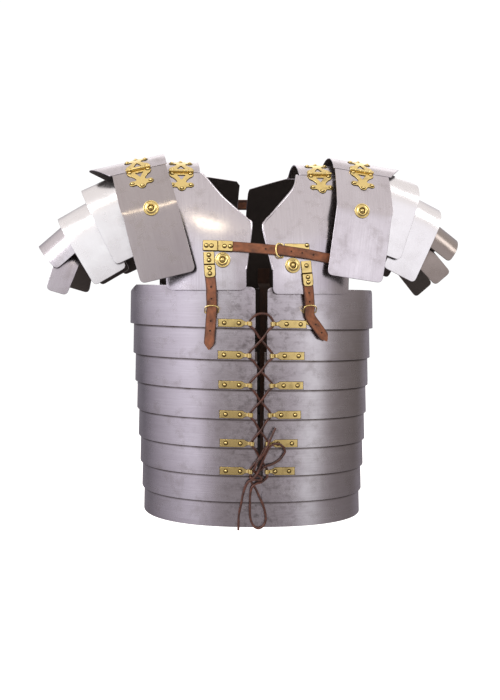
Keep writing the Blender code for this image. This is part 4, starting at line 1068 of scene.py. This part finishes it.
class LORICA_OT_hoops(bpy.types.Operator):
    """Bend the sixteen half hoops of the girth"""
    bl_idname = "lorica.hoops"
    bl_label = "Girth hoops"

    def execute(self, context):
        plates = settings()[0]
        for side, label in SIDES.items():
            for i in range(len(HOOPS)):
                hoop = Hoop(i, side)
                low, top, far = HOOPS[i]["low"], hoop_top(i), hoop.length
                lap = top - HOOP_LAP if i else 1.0
                corner = HOOP_CORNER if i else HOOP_1_CORNER
                upper = [(s, top - (0 if i else hoop.armpit(s))) for s in spread(far - 0.02, 0.02, 60)]
                outline = [(0, low), (far, low), (far, top)] + upper + [(0, top)]
                outline = rounded(outline, [HOOP_LOW_CORNER] * 2 + [corner] + [0] * len(upper) + [corner])
                make_steel(f"hoop_{label}_{i + 1}", f"girth_hoop_{label}_{i + 1}", outline, hoop.point,
                           "hoop", i + (9 if side > 0 else 0), (plates.fineness * 0.8, 0.010), lap)
        return {"FINISHED"}


class LORICA_OT_collar(bpy.types.Operator):
    """Shape the breastplates, the top plates and the back plates of the collar"""
    bl_idname = "lorica.collar"
    bl_label = "Collar plates"

    def execute(self, context):
        for side, label in SIDES.items():
            band = collar_band_of[side]
            base = abs(band.corner.x)
            outer = PLATE_OUTER - base
            hinge = length_of(COLLAR_FRONT, 1)
            reach = BREAST_END[side] - hinge
            stations = neck_stations(BREAST_NECK[side], base, outer, reach, -1, hinge, 0.010)
            make_steel(f"breast_{label}", f"breastplate_{label}", strip_outline(stations, PLATE_CORNER),
                       band.point, "plate", 20 + side, rim=hinge + reach - 0.012,
                       rim_size=1.25 if side > 0 else 0.9)

            hinge_back = length_of(COLLAR_BACK, 1)
            reach = length_of(COLLAR_BACK, 4) - hinge_back
            stations = neck_stations(BACK_NECK[side] + [(0.1, BACK_NECK[side][-1][1])], base, outer, reach, 1,
                                     hinge_back, 0.0)
            make_steel(f"back_{label}", f"backplate_{label}", strip_outline(stations, PLATE_CORNER),
                       band.point, "plate", 23 + side)

            stations = [(s, 0.0, outer) for s in spread(-hinge + JOINT, hinge_back - JOINT, 12)]
            make_steel(f"shoulder_{label}", f"collar_top_{label}", strip_outline(stations, 0.0015),
                       band.point, "plate", 26 + side, rim=1.0)
        return {"FINISHED"}


class LORICA_OT_upper_guards(bpy.types.Operator):
    """Shape the front, top and back plates of the upper shoulder guards"""
    bl_idname = "lorica.upper_guards"
    bl_label = "Upper guards"

    def execute(self, context):
        for side, label in SIDES.items():
            band = guard_band(side)
            top, low, flare = (GUARD_WIDTH[side][key] for key in ("top", "low", "flare"))
            hinge, bend, end = (length_of(GUARD_FRONT, k) for k in (1, 2, 4))
            stations = [(-hinge - JOINT, 0.002, top - 0.004), (-bend, 0.002, top - 0.004),
                        (-bend - 0.010, 0.002, top - 0.006),
                        (-(bend + end) / 2, 0.001, (top + low) / 2 - 0.002),
                        (-end, 0.0, low)]
            make_steel(f"guard_front_{label}", f"upper_guard_front_{label}",
                       strip_outline(stations, PLATE_CORNER), band.point,
                       "plate" if side > 0 else "dull", 29 + side)

            hinge_b, bend_b, end_b = (length_of(GUARD_BACK, k) for k in (1, 2, 4))
            stations = [(hinge_b + JOINT, 0.002, top - 0.004), (bend_b, 0.002, top - 0.004),
                        (bend_b + 0.014, 0.002, top - 0.006), (end_b, 0.0, low)]
            make_steel(f"guard_back_{label}", f"upper_guard_back_{label}",
                       strip_outline(stations, PLATE_CORNER), band.point, "plate", 32 + side)

            stations = [(s, -0.002 * (1 - abs(t)), top + flare * (1 - abs(t) ** 1.6))
                        for s, t in zip(spread(-hinge + JOINT, hinge_b - JOINT, 24), spread(-1, 1, 24))]
            make_steel(f"guard_top_{label}", f"upper_guard_top_{label}", strip_outline(stations, 0.0015),
                       band.point, "plate", 35 + side)
        return {"FINISHED"}


class LORICA_OT_lesser_guards(bpy.types.Operator):
    """Bend the four lesser guards outside each upper guard"""
    bl_idname = "lorica.lesser_guards"
    bl_label = "Lesser guards"

    def execute(self, context):
        for side, label in SIDES.items():
            for n, lame in enumerate(LAMES[side]):
                band, (front, back) = lame_band(side, lame)
                ends = (-length_of(front, 3), length_of(back, 3))
                stations = []
                for s in [ends[0], ends[0] * 0.5, 0, ends[1] * 0.5, ends[1]]:
                    width = float(np.interp(s, [ends[0], 0, ends[1]],
                                            [lame["front"], lame["crest"], lame["back"]]))
                    stations.append((s, -width, 0.0))
                # the first two lesser guards are whitened as painted highlight; the other two on the wearer's
                # left are darkened as painted shade
                make_steel(f"lame_{label}_{n + 1}", f"lesser_guard_{label}_{n + 1}",
                           strip_outline(stations, LAME_CORNER, LAME_CORNER), band.point,
                           "lame" if n < 2 else "grey" if side > 0 else "plate",
                           n + (45 if side > 0 else 40))
        return {"FINISHED"}


def knuckle(piece, middle, axis, half, radius, parts=5):
    """A hinge's barrel of turned parts on a pin with a domed head at each end."""
    start = middle - axis * half
    piece.turned([(0.45 * radius, -0.0007), (0.62 * radius, -0.0004), (0.62 * radius, 0.0)], start, axis, 16)
    piece.turned([(0.62 * radius, 2 * half), (0.62 * radius, 2 * half + 0.0004),
                  (0.45 * radius, 2 * half + 0.0007)], start, axis, 16)
    for a, b in zip(spread(0, 2 * half, parts), spread(0, 2 * half, parts)[1:]):
        a, b = a + 0.0001, b - 0.0001
        piece.turned([(radius - 0.0004, a), (radius, a + 0.0004), (radius, b - 0.0004),
                      (radius - 0.0004, b)], start, axis, 24)


def brass_sheet(piece, outline, place, low, rivets, holes=()):
    """Sheet brass cut to an outline and riveted on, with a painted shadow in dark brass on its walls and round
    its foot.
    """
    fittings = settings()[1]
    piece.cut(outline, place, low, low + fittings.wall, BRASS_STEP, holes, fittings.edge, shadow_skirt=SHADOW_SKIRT)
    for u, v in rivets:
        rivet(piece, place, u, v, low + fittings.wall, fittings.rivet)


def hinge(name, nodes, band, at, across, kind):
    """Two leaves on the plates on each side of a barrel; lobate and pierced in front, plain behind."""
    radius = settings()[1].knuckle
    if kind == "lobate":
        leaf = rounded(LEAF + [(-x, y) for x, y in reversed(LEAF[:-1])], 0.0020, 4)
        holes, rivets, gap = [rounded(LEAF_HOLE, 0.0006, 3)], LEAF_RIVETS, 0.0008
        half, lift = 0.0194, radius
    else:
        leaf = rounded(PLAIN_LEAF, 0.0015, 3)
        holes, rivets, gap = (), PLAIN_RIVETS, 0.0
        half, radius, lift = 0.016, 0.0019, 0.0017
    piece = Piece(name)
    for way in (-1, 1):
        def place(u, v, lift, way=way):
            return band.point(across + u, at + way * (v + gap), lift)
        brass_sheet(piece, leaf, place, GAP, rivets, holes)
    knuckle(piece, band.point(across, at, GAP + lift), band.out, half, radius)
    piece.make(brass_finishes(), nodes)


class LORICA_OT_hinges(bpy.types.Operator):
    """Cut the brass hinges over the shoulders and rivet them on"""
    bl_idname = "lorica.hinges"
    bl_label = "Hinges"

    def execute(self, context):
        for side, label in SIDES.items():
            collar, guard = collar_band_of[side], guard_band(side)
            base = abs(collar.corner.x)
            for name, band, at, across, kind in (
                    ("collar", collar, -length_of(COLLAR_FRONT, 1), COLLAR_HINGE_X[side] - base, "lobate"),
                    ("guard", guard, -length_of(GUARD_FRONT, 1), GUARD_HINGE_X, "lobate"),
                    ("collar", collar, length_of(COLLAR_BACK, 1), BACK_HINGE_X - base, "plain"),
                    ("guard", guard, length_of(GUARD_BACK, 1), GUARD_HINGE_X, "plain")):
                ahead = kind == "lobate"
                hinge(f"{name}_{'leaves' if ahead else 'back_leaves'}_{label}",
                      [f"{name}_hinge_{label}"] if ahead else (), band, at, across, kind)
        return {"FINISHED"}


def tie_loop(name, i, side, back):
    """A brass strip with two rivets and a cut end, whose narrow end is rolled over the lace."""
    piece = Piece(name)
    end = tie_end(i, side, back)
    middle = HOOPS[i]["low"] + TIE_ABOVE_EDGE
    far = 0.050 if back else TIE_LENGTHS[side][i]

    def place(u, v, lift):
        return girth_point(i, side * (end + u), middle + v, lift, back)

    half = TIE_HALF
    teeth = [(far - TIE_TOOTH * (k % 2), -half + 2 * half * k / TIE_TEETH) for k in range(TIE_TEETH + 1)]
    low = [(0.0078, -0.0022), (0.0115, -0.0030), (0.0160, -half)]
    outline = low + teeth + [(u, -v) for u, v in reversed(low)]
    outline = rounded(outline, [0, 0.002, 0.002] + [0] * len(teeth) + [0.002, 0.002, 0], 3)
    brass_sheet(piece, outline, place, 0.0, [(far - 0.0094, 0), (far - 0.0316, 0)])
    roll = [(0.0105, 0.0006), (0.0085, 0.0009), (0.0070, 0.0018)]
    roll += [(TIE_ROLL + ROLL_RADIUS * math.cos(a), ROLL_LIFT + ROLL_RADIUS * math.sin(a))
             for a in spread(0.1, 3.5, 12)]
    sections = []
    for n, (u, lift) in enumerate(roll):
        before, after = roll[max(0, n - 1)], roll[min(len(roll) - 1, n + 1)]
        way = Vector((after[0] - before[0], after[1] - before[1])).normalized()
        du, dl = -way.y * 0.00045, way.x * 0.00045
        w = float(np.interp(n, [0, 2, 4], [0.0026, 0.0022, 0.0031]))
        sections.append([place(u + du, -w, lift + dl), place(u + du, w, lift + dl),
                         place(u - du, w, lift - dl), place(u - du, -w, lift - dl)])
    piece.loft(sections)
    return piece.make(brass_finishes(), bevel=0.00018)


class LORICA_OT_ties(bpy.types.Operator):
    """Rivet the brass tie loops to the upper six hoops"""
    bl_idname = "lorica.ties"
    bl_label = "Tie loops"

    def execute(self, context):
        for side, label in SIDES.items():
            for i in range(6):
                for back in (False, True):
                    tie_loop(f"tie_{'back' if back else 'front'}_{label}_{i + 1}", i, side, back)
        return {"FINISHED"}


class StrapLine:
    """The middle line of a strap: its places are distance along, distance across and lift."""

    def __init__(self, places, surface, lows):
        line = np.array([tuple(p) for p in smooth_line([(x, z) for x, z in places], 240)])
        self.line = line
        self.far = distances(line)
        self.length = float(self.far[-1])
        self.surface, self.lows = surface, lows

    def place(self, u, v, lift):
        x, z = (float(np.interp(u, self.far, self.line[:, k])) for k in (0, 1))
        ahead = [float(np.interp(u + 0.001, self.far, self.line[:, k])) for k in (0, 1)]
        behind = [float(np.interp(u - 0.001, self.far, self.line[:, k])) for k in (0, 1)]
        way = Vector((ahead[0] - behind[0], ahead[1] - behind[1])).normalized()
        return self.surface(x - way.y * v, z + way.x * v, edge_at(self.lows, u) + lift)

    def along(self, x=None, z=None):
        """Distance along the strap at an x or at a height."""
        column, value = (0, x) if z is None else (1, z)
        return float(self.far[int(np.argmin(np.abs(self.line[:, column] - value)))])


def strap_piece(name, node, strap, half, holes, tip, start=0.0):
    """A cut strap with its punched holes and pointed or square end."""
    leather = settings()[2]
    piece = Piece(name)
    far = strap.length
    if tip:
        outline = [(start, -half), (far - tip, -half), (far, 0.0), (far - tip, half), (start, half)]
        outline = rounded(outline, [0.001, 0.003, 0.0015, 0.003, 0.001], 4)
    else:
        outline = rounded([(start, -half), (far, -half), (far, half), (start, half)], 0.001, 3)
    rings = [circle(u, 0, leather.hole, 14) for u in holes]
    piece.cut(outline, strap.place, 0.0, leather.strap, (0.004, 0.004), rings, 0.0005)
    for u in holes:
        middle = strap.place(u, 0, 0.0004)
        # painted shade: a near-black plug inside each punched hole
        piece.turned([(leather.hole, 0), (leather.hole, 0.0008)], middle,
                     (strap.place(u, 0, 0.002) - middle).normalized(), 14, finish=1)
    return piece.make([strap_leather(), leather_in_painted_shade()], [node])


def brass_plate(piece, place, u_0, u_1, half, low, rivets, round_end=0.0008):
    """A brass plate across a strap, with its rivets."""
    outline = [(u_0, -half), (u_1, -half), (u_1, half), (u_0, half)]
    brass_sheet(piece, rounded(outline, [0.0008, round_end, round_end, 0.0008], 5), place, low, rivets)


def strap_ring(piece, place, half, plate_end, plate_holes, rise=0.0, gauge=1.0):
    """A wire ring round a strap, with the brass plate that holds its bar."""
    fittings = settings()[1]
    side = half + 0.0020 * gauge
    ring = [(0.0045, -0.85 * side, BAR_LIFT), (0.0045, 0.0, BAR_LIFT), (0.0045, 0.85 * side, BAR_LIFT),
            (0.0030, side, BAR_LIFT + 0.0004), (0.0, side, 0.0034), (-0.0028, side, ARC_LIFT - 0.0002),
            (-0.0052, 0.78 * side, ARC_LIFT), (-0.0064, 0.4 * side, ARC_LIFT), (-0.0068, 0.0, ARC_LIFT)]
    ring += [(a, -c, lift) for a, c, lift in reversed(ring[3:-1])]
    line = smooth_line([place(*spot) for spot in ring], 72, cyclic=True)
    piece.wire(line, gauge * fittings.wire / 2, 12, cyclic=True)
    width = 0.7 * half
    roll = [(0.0045 + 0.0017 * math.cos(a), 0.0016 + 0.0013 * math.sin(a)) for a in spread(3.9, 0.4, 8)]
    roll += [(0.0072, 0.0011), (0.0085, 0.0009)]
    sections = [[place(u, -width, lift - 0.0003), place(u, width, lift - 0.0003),
                 place(u, width, lift + 0.0003), place(u, -width, lift + 0.0003)] for u, lift in roll]
    piece.loft(sections)
    brass_plate(piece, lambda u, v, lift: place(u, v + rise, lift), 0.0078, plate_end, width + 0.3 * rise, GAP,
                [(u, rise) for u in plate_holes], 0.0008 if rise else 0.003)


class LORICA_OT_straps(bpy.types.Operator):
    """Cut the chest strap and the hanging straps, with their brass plates and rings"""
    bl_idname = "lorica.straps"
    bl_label = "Straps and rings"

    def execute(self, context):
        leather = settings()[2]
        top = leather.strap
        lows = [(0.0, SEAT), (0.1040, SEAT), (0.1090, 0.0010), (0.1180, 0.0030), (0.1240, 0.0030),
                (0.1320, 0.0020), (0.1640, 0.0020), (0.1740, SEAT), (0.2200, SEAT)]
        chest = StrapLine(CHEST_LINE, front_point, lows)
        holes = [chest.along(x=x) for x in (0.0077, 0.0468, 0.0634, 0.0812)]
        strap_piece("strap_chest", "chest_strap", chest, CHEST_STRAP_HALF, holes, 0.0)
        plates = Piece("strap_plates_chest")
        for u_0, u_1, rivets in ((0.0008, 0.0218, (0.0054, 0.0130)), (0.0234, 0.0446, (0.0325, 0.0410))):
            brass_plate(plates, chest.place, u_0, u_1, CHEST_STRAP_HALF, top, [(u, -0.0006) for u in rivets])
        plates.make(brass_finishes())
        ring = Piece("ring_chest")
        strap_ring(ring, lambda a, c, lift: front_point(RING_X["chest"] + a, RING_Z["chest"] + c, lift),
                   CHEST_STRAP_HALF, 0.0460, (0.0425,), 0.0045, 1.25)
        ring.make(brass_finishes(), ["chest_buckle"])

        hole_heights = {"right": (-0.1872, -0.2043, -0.2381, -0.2530),
                        "left": (-0.1960, -0.2090, -0.2440, -0.2570)}
        for label, line in HANGING_LINE.items():
            ring_x, ring_z = RING_X[label], RING_Z[label]
            down = line[0][1] - ring_z
            lows = [(0.0, SEAT), (down - 0.014, SEAT), (down - 0.008, 0.0010), (down + 0.001, 0.0030),
                    (down + 0.009, 0.0030), (down + 0.018, 0.0020), (1.0, 0.0020)]
            hanging = StrapLine(line, hanging_point, lows)
            holes = [hanging.along(z=z) for z in hole_heights[label]]
            strap_piece(f"strap_{label}", f"hanging_strap_{label}", hanging, HANGING_STRAP_HALF, holes, 0.0105,
                        start=0.0200)
            plates = Piece(f"strap_plates_{label}")
            half = HANGING_STRAP_HALF
            upper = (0.0050, 0.0126) if label == "right" else (0.0072,)
            brass_plate(plates, hanging.place, 0.0, 0.0180, half, 0.0, [(u, 0.0) for u in upper])
            brass_plate(plates, hanging.place, 0.0204, 0.0385, half, top,
                        [(0.0252, 0.0), (0.0330, 0.0)], 0.0050)
            middle = hanging.place(0.0193, 0, 0.0020)
            axis = (hanging.place(0.0193, half, 0.0020) - middle).normalized()
            before = len(plates.finishes)
            knuckle(plates, middle, axis, half, 0.0014, 3)
            plates.finishes[before:] = [1] * (len(plates.finishes) - before)
            plates.make(brass_finishes())
            ring = Piece(f"ring_{label}")
            strap_ring(ring, lambda a, c, lift: hanging_point(ring_x + c, ring_z - a, lift), half, 0.0230,
                       (0.0150,))
            ring.make(brass_finishes(), [f"hanging_buckle_{label}"])
        return {"FINISHED"}


# A boss's section from its edge to its rivet: share of its radius, height, and whether tarnish lies there
BOSS = [(1.0, 0.0, 0), (1.0, 0.0007, 0), (0.975, 0.0012, 0), (0.93, 0.0014, 0), (0.87, 0.0013, 0),
        (0.84, 0.0009, 1), (0.80, 0.0008, 0), (0.72, 0.0011, 0), (0.66, 0.0017, 0), (0.60, 0.0024, 0),
        (0.54, 0.0027, 0), (0.47, 0.0025, 0), (0.41, 0.0018, 0), (0.38, 0.0011, 1), (0.27, 0.0010, 1),
        (0.235, 0.0012, 0), (0.225, 0.0018, 0), (0.19, 0.0028, 0), (0.12, 0.0034, 0), (0.04, 0.0035, 0)]


class LORICA_OT_bosses(bpy.types.Operator):
    """Turn the brass bosses of the breastplates and the upper guards"""
    bl_idname = "lorica.bosses"
    bl_label = "Bosses"

    def execute(self, context):
        _, fittings, _, studio = settings()
        profile = [(r * fittings.boss, h) for r, h, _ in BOSS]
        tarnish = [row[2] for row in BOSS[1:]]
        for side, label in SIDES.items():
            x, z = BOSS_CHEST[side]
            across = front_point(x + 0.01, z, 0) - front_point(x - 0.01, z, 0)
            upward = front_point(x, z + 0.01, 0) - front_point(x, z - 0.01, 0)
            band, spot = guard_band(side), (BOSS_GUARD_ACROSS, -BOSS_GUARD_DOWN[side])
            for name, node, middle, outward in (
                    ("breast", "chest", front_point(x, z, 0.0009), across.cross(upward)),
                    ("shoulder", "guard", band.point(*spot, GAP),
                     band.point(*spot, 0.01) - band.point(*spot, 0.0))):
                boss = Piece(f"boss_{name}_{label}")
                boss.turned(profile, middle, outward.normalized(), studio.facets, tarnish)
                boss.make(brass_finishes(), [f"boss_{node}_{label}"])
        return {"FINISHED"}


class LORICA_OT_leathers(bpy.types.Operator):
    """Cut the inner straps that carry the hoops and the guards, and the strap between the back plates"""
    bl_idname = "lorica.leathers"
    bl_label = "Inner leathers"

    def execute(self, context):
        thick = settings()[2].strap
        wall = settings()[0].wall
        for side, label in SIDES.items():
            for back in (False, True):
                inward = Vector((0, -thick if back else thick, 0))
                edges = (LEATHER_X - LEATHER_HALF, LEATHER_X + LEATHER_HALF)
                stations = []
                if back:
                    stations += [[collar_band_of[side].chest(x, z, -wall - 2 * GAP, True) for x in edges]
                                 for z in (-0.150, -0.165, -0.178)]
                stations += [[girth_point(i, side * x, hoop_top(i) + 0.001, -wall - 2 * GAP, back)
                              for x in edges] for i in range(len(HOOPS))]
                stations.append([girth_point(7, side * x, HOOPS[7]["low"] + 0.012, -wall - 0.0016, back)
                                 for x in edges])
                place = "back" if back else "front"
                piece = Piece(f"leather_{place}_{label}")
                piece.loft([[a, b, b + inward, a + inward] for a, b in stations])
                piece.make([leather_in_painted_shade()], [f"girth_leather_{place}_{label}"], 0.0005)
            self.shoulder(side, label, thick, wall)
        piece = Piece("strap_back")
        sections = []
        for x in spread(-0.040, 0.040, 16):
            band = collar_band_of[-1 if x < 0 else 1]
            low, high = 2 * GAP, 2 * GAP + thick
            sections.append([Vector((x, *band.chest(abs(x), z, lift, True).yz))
                             for z, lift in ((-0.046, low), (-0.030, low), (-0.030, high), (-0.046, high))])
        piece.loft(sections)
        piece.make([strap_leather()], ["back_strap"], 0.0005)
        return {"FINISHED"}

    def shoulder(self, side, label, thick, wall):
        """The strap inside the crest of a shoulder, out to the last lesser guard."""
        under = -wall - 2 * GAP - CREST_SAG
        beneath = under - 0.0010
        collar, guard = collar_band_of[side], guard_band(side)
        lames = [lame_band(side, lame)[0] for lame in LAMES[side]]
        widths = [lame["crest"] for lame in LAMES[side]]
        base = abs(collar.corner.x)
        start = 0.178 - abs(guard.corner.x)
        line = [collar.point(0.116 - base, 0, under), collar.point(0.150 - base, 0, under),
                guard.point(start, 0, under), guard.point(start + 0.020, 0, under)]
        for band, width in zip(lames[:3], widths):
            line += [band.point(-width - 0.005, 0, -0.0070), band.point(-width + 0.010, 0, beneath),
                     band.point(-width + 0.024, 0, beneath)]
        sections = []
        half = Vector((0, LEATHER_HALF, 0))
        for n, spot in enumerate(line):
            along = line[min(len(line) - 1, n + 1)] - line[max(0, n - 1)]
            drop = (Vector((along.z, 0, -along.x)) * side).normalized() * thick
            sections.append([spot - half, spot + half, spot + half + drop, spot - half + drop])
        piece = Piece(f"leather_shoulder_{label}")
        piece.loft(sections)
        third, last, width = lames[2], lames[3], widths[2]
        link = [(third.point(-width + 0.022, 0, beneath - thick + 0.0006), -third.up),
                (third.point(-width + 0.012, 0, beneath - thick + 0.0006), -third.up),
                (last.point(0.006, 0, 0.0045 + thick), -last.up),
                (last.point(-0.004, 0, GAP + thick + 0.0003), -last.up),
                (last.point(-0.022, 0, GAP + thick + 0.0003), -last.up)]
        half = Vector((0, LEATHER_HALF - 0.002, 0))
        piece.loft([[spot - half, spot + half, spot + half + way * thick, spot - half + way * thick]
                    for spot, way in link])
        piece.make([leather_in_painted_shade()], [f"shoulder_leather_{label}"], 0.0005)


def aim(obj, place, target):
    obj.location = place
    obj.rotation_euler = (Vector(target) - Vector(place)).to_track_quat("-Z", "Y").to_euler()
    bpy.context.scene.collection.objects.link(obj)


class LORICA_OT_camera(bpy.types.Operator):
    """Set the camera at the front"""
    bl_idname = "lorica.camera"
    bl_label = "Camera"

    def execute(self, context):
        studio = settings()[3]
        view = bpy.data.cameras.new("Studio camera")
        view.sensor_fit = "VERTICAL"
        view.sensor_height = 36.0
        view.lens = studio.lens
        obj = bpy.data.objects.new("Studio camera", view)
        a, e = math.radians(studio.azimuth), math.radians(studio.elevation)
        target = Vector((0, 0, studio.aim))
        way = Vector((math.sin(a) * math.cos(e), -math.cos(a) * math.cos(e), math.sin(e)))
        aim(obj, target + way * studio.distance, target)
        context.scene.camera = obj
        return {"FINISHED"}


# The room's walls above and below eye height, by the angle round from the front towards the wearer's left
WALLS = [(-180, "#9A969C"), (-128, "#8E8A90"), (-104, "#DAD4DC"), (-60, "#E6E0EA"), (-40, "#FBF6FF"),
         (-9, "#FFFFFF"), (-4, "#CFC8CC"), (2, "#C4BCC0"), (7, "#F2ECF4"), (22, "#FFFCFF"),
         (42, "#EAE4EC"), (58, "#9A9290"), (108, "#98908E"), (135, "#C0BAC0"), (180, "#9A969C")]
WALLS_LOW = [(-180, "#8A868C"), (-128, "#6A666C"), (-106, "#969098"), (-80, "#BEB8C0"), (-52, "#EAE4EE"),
             (-36, "#FBF6FF"), (-27, "#C2BAC0"), (-18, "#908886"), (14, "#928A88"), (26, "#C4BCC0"),
             (33, "#FFFFFF"), (42, "#FFFFFF"), (52, "#A09896"), (66, "#7E7672"), (108, "#665E58"),
             (135, "#908A90"), (180, "#8A868C")]
OVERHEAD = "#E6DFDC"
BELOW = "#7C767A"


class LORICA_OT_stage(bpy.types.Operator):
    """Lay the pale floor and set the soft lights round the armour"""
    bl_idname = "lorica.stage"
    bl_label = "Stage"

    def execute(self, context):
        studio = settings()[3]
        scene = context.scene
        size, height = 9.0, studio.floor
        mesh = bpy.data.meshes.new("Studio floor")
        mesh.from_pydata([(-size, -size, height), (size, -size, height), (size, size, height),
                          (-size, size, height)], [], [(0, 1, 2, 3)])
        floor = bpy.data.objects.new("Studio floor", mesh)
        made, tree, shader = new_material("Matt white board")
        if tree:
            feed(tree, shader, {"Base Color": (*studio.pale, 1), "Roughness": 0.9,
                                "Emission Color": (1, 1, 1, 1), "Emission Strength": 0.75})
        mesh.materials.append(made)
        scene.collection.objects.link(floor)

        floor.visible_glossy = False
        lights = [("Key light", (-1.6, -0.8, 1.0), studio.key, (1.4, 1.4)),
                  ("Front light", (-0.40, -1.40, 1.30), 0.18 * studio.fill, (0.4, 0.34)),
                  ("Guard light", (0.53, -1.52, 0.31), 0.012 * studio.fill, (0.25, 0.4)),
                  ("Right light", (1.7, -0.5, 1.1), studio.fill, (0.8, 1.2)),
                  ("Back light", (0.3, 1.9, 1.0), 0.6 * studio.fill, (1.8, 1.4))]
        for name, place, power, (wide, tall) in lights:
            lamp = bpy.data.lights.new(name, "AREA")
            lamp.shape = "RECTANGLE"
            lamp.size, lamp.size_y = wide, tall
            lamp.energy = power
            lamp.color = linear("#FFEFCB") if name == "Front light" else (1, 1, 1)
            aim(bpy.data.objects.new(name, lamp), place, (0, 0, -0.25))
        self.room(scene)
        scene.view_settings.view_transform = "Standard"
        return {"FINISHED"}

    def room(self, scene):
        """A pale room: soft walls of light round the armour, duller overhead and below."""
        world = bpy.data.worlds.new("Soft studio")
        scene.world = world
        world.use_nodes = True
        tree = world.node_tree
        place = add_node(tree, "ShaderNodeTexCoord").outputs["Generated"]
        parts = add_node(tree, "ShaderNodeSeparateXYZ", {"Vector": place}).outputs
        turn = calculated(tree, "ARCTAN2", parts["X"], calculated(tree, "MULTIPLY", parts["Y"], -1.0))
        share = mapped(tree, turn, -math.pi, math.pi)
        low, high = (self.ring(tree, share, stops) for stops in (WALLS_LOW, WALLS))
        light = mixed(tree, mapped(tree, parts["Z"], -0.02, 0.09, soft=True), low, high)
        light = mixed(tree, mapped(tree, parts["Z"], 0.24, 0.62, soft=True), light, linear(OVERHEAD))
        light = mixed(tree, mapped(tree, parts["Z"], -0.05, -0.42, soft=True), light, linear(BELOW))
        sky = tree.nodes["Background"]
        feed(tree, sky, {"Color": light, "Strength": 1.1})
        seen = add_node(tree, "ShaderNodeLightPath").outputs["Is Camera Ray"]
        white = add_node(tree, "ShaderNodeBackground", {"Color": (1.0, 1.0, 1.0, 1), "Strength": 1.05})
        both = add_node(tree, "ShaderNodeMixShader", {0: seen, 1: sky.outputs[0], 2: white.outputs[0]})
        feed(tree, tree.nodes["World Output"], {"Surface": both.outputs[0]})

    @staticmethod
    def ring(tree, share, stops):
        """Colours by the angle round the room."""
        ramp = add_node(tree, "ShaderNodeValToRGB", {"Fac": share})
        bar = ramp.color_ramp
        while len(bar.elements) < len(stops):
            bar.elements.new(0.5)
        for element, (angle, hex_colour) in zip(bar.elements, stops):
            element.position = (angle + 180) / 360
            element.color = (*linear(hex_colour), 1)
        return ramp.outputs["Color"]


STEPS = (LORICA_OT_camera, LORICA_OT_laces, LORICA_OT_hoops, LORICA_OT_collar, LORICA_OT_upper_guards,
         LORICA_OT_lesser_guards, LORICA_OT_hinges, LORICA_OT_ties, LORICA_OT_straps, LORICA_OT_bosses,
         LORICA_OT_leathers, LORICA_OT_stage)
GROUPS = {"lorica_plates": PlateSettings, "lorica_fittings": FittingSettings,
          "lorica_leather": LeatherSettings, "lorica_studio": StudioSettings}


class LORICA_PT_armour(bpy.types.Panel):
    """Sizes, colours and steps of the armour"""
    bl_idname = "LORICA_PT_armour"
    bl_label = "Lorica segmentata"
    bl_space_type = "VIEW_3D"
    bl_region_type = "UI"
    bl_category = "Armour"

    def draw(self, context):
        for name, group in GROUPS.items():
            box = self.layout.box()
            box.label(text=group.__doc__)
            for prop in group.__annotations__:
                box.prop(getattr(context.scene, name), prop)
        for step in STEPS:
            self.layout.operator(step.bl_idname)


def register():
    for item in (*GROUPS.values(), *STEPS, LORICA_PT_armour):
        bpy.utils.register_class(item)
    for name, group in GROUPS.items():
        setattr(bpy.types.Scene, name, PointerProperty(type=group))


def unregister():
    for name in GROUPS:
        delattr(bpy.types.Scene, name)
    for item in reversed((*GROUPS.values(), *STEPS, LORICA_PT_armour)):
        bpy.utils.unregister_class(item)


def main():
    register()
    for step in STEPS:
        group, name = step.bl_idname.split(".")
        getattr(getattr(bpy.ops, group), name)()


if __name__ == "__main__":
    main()
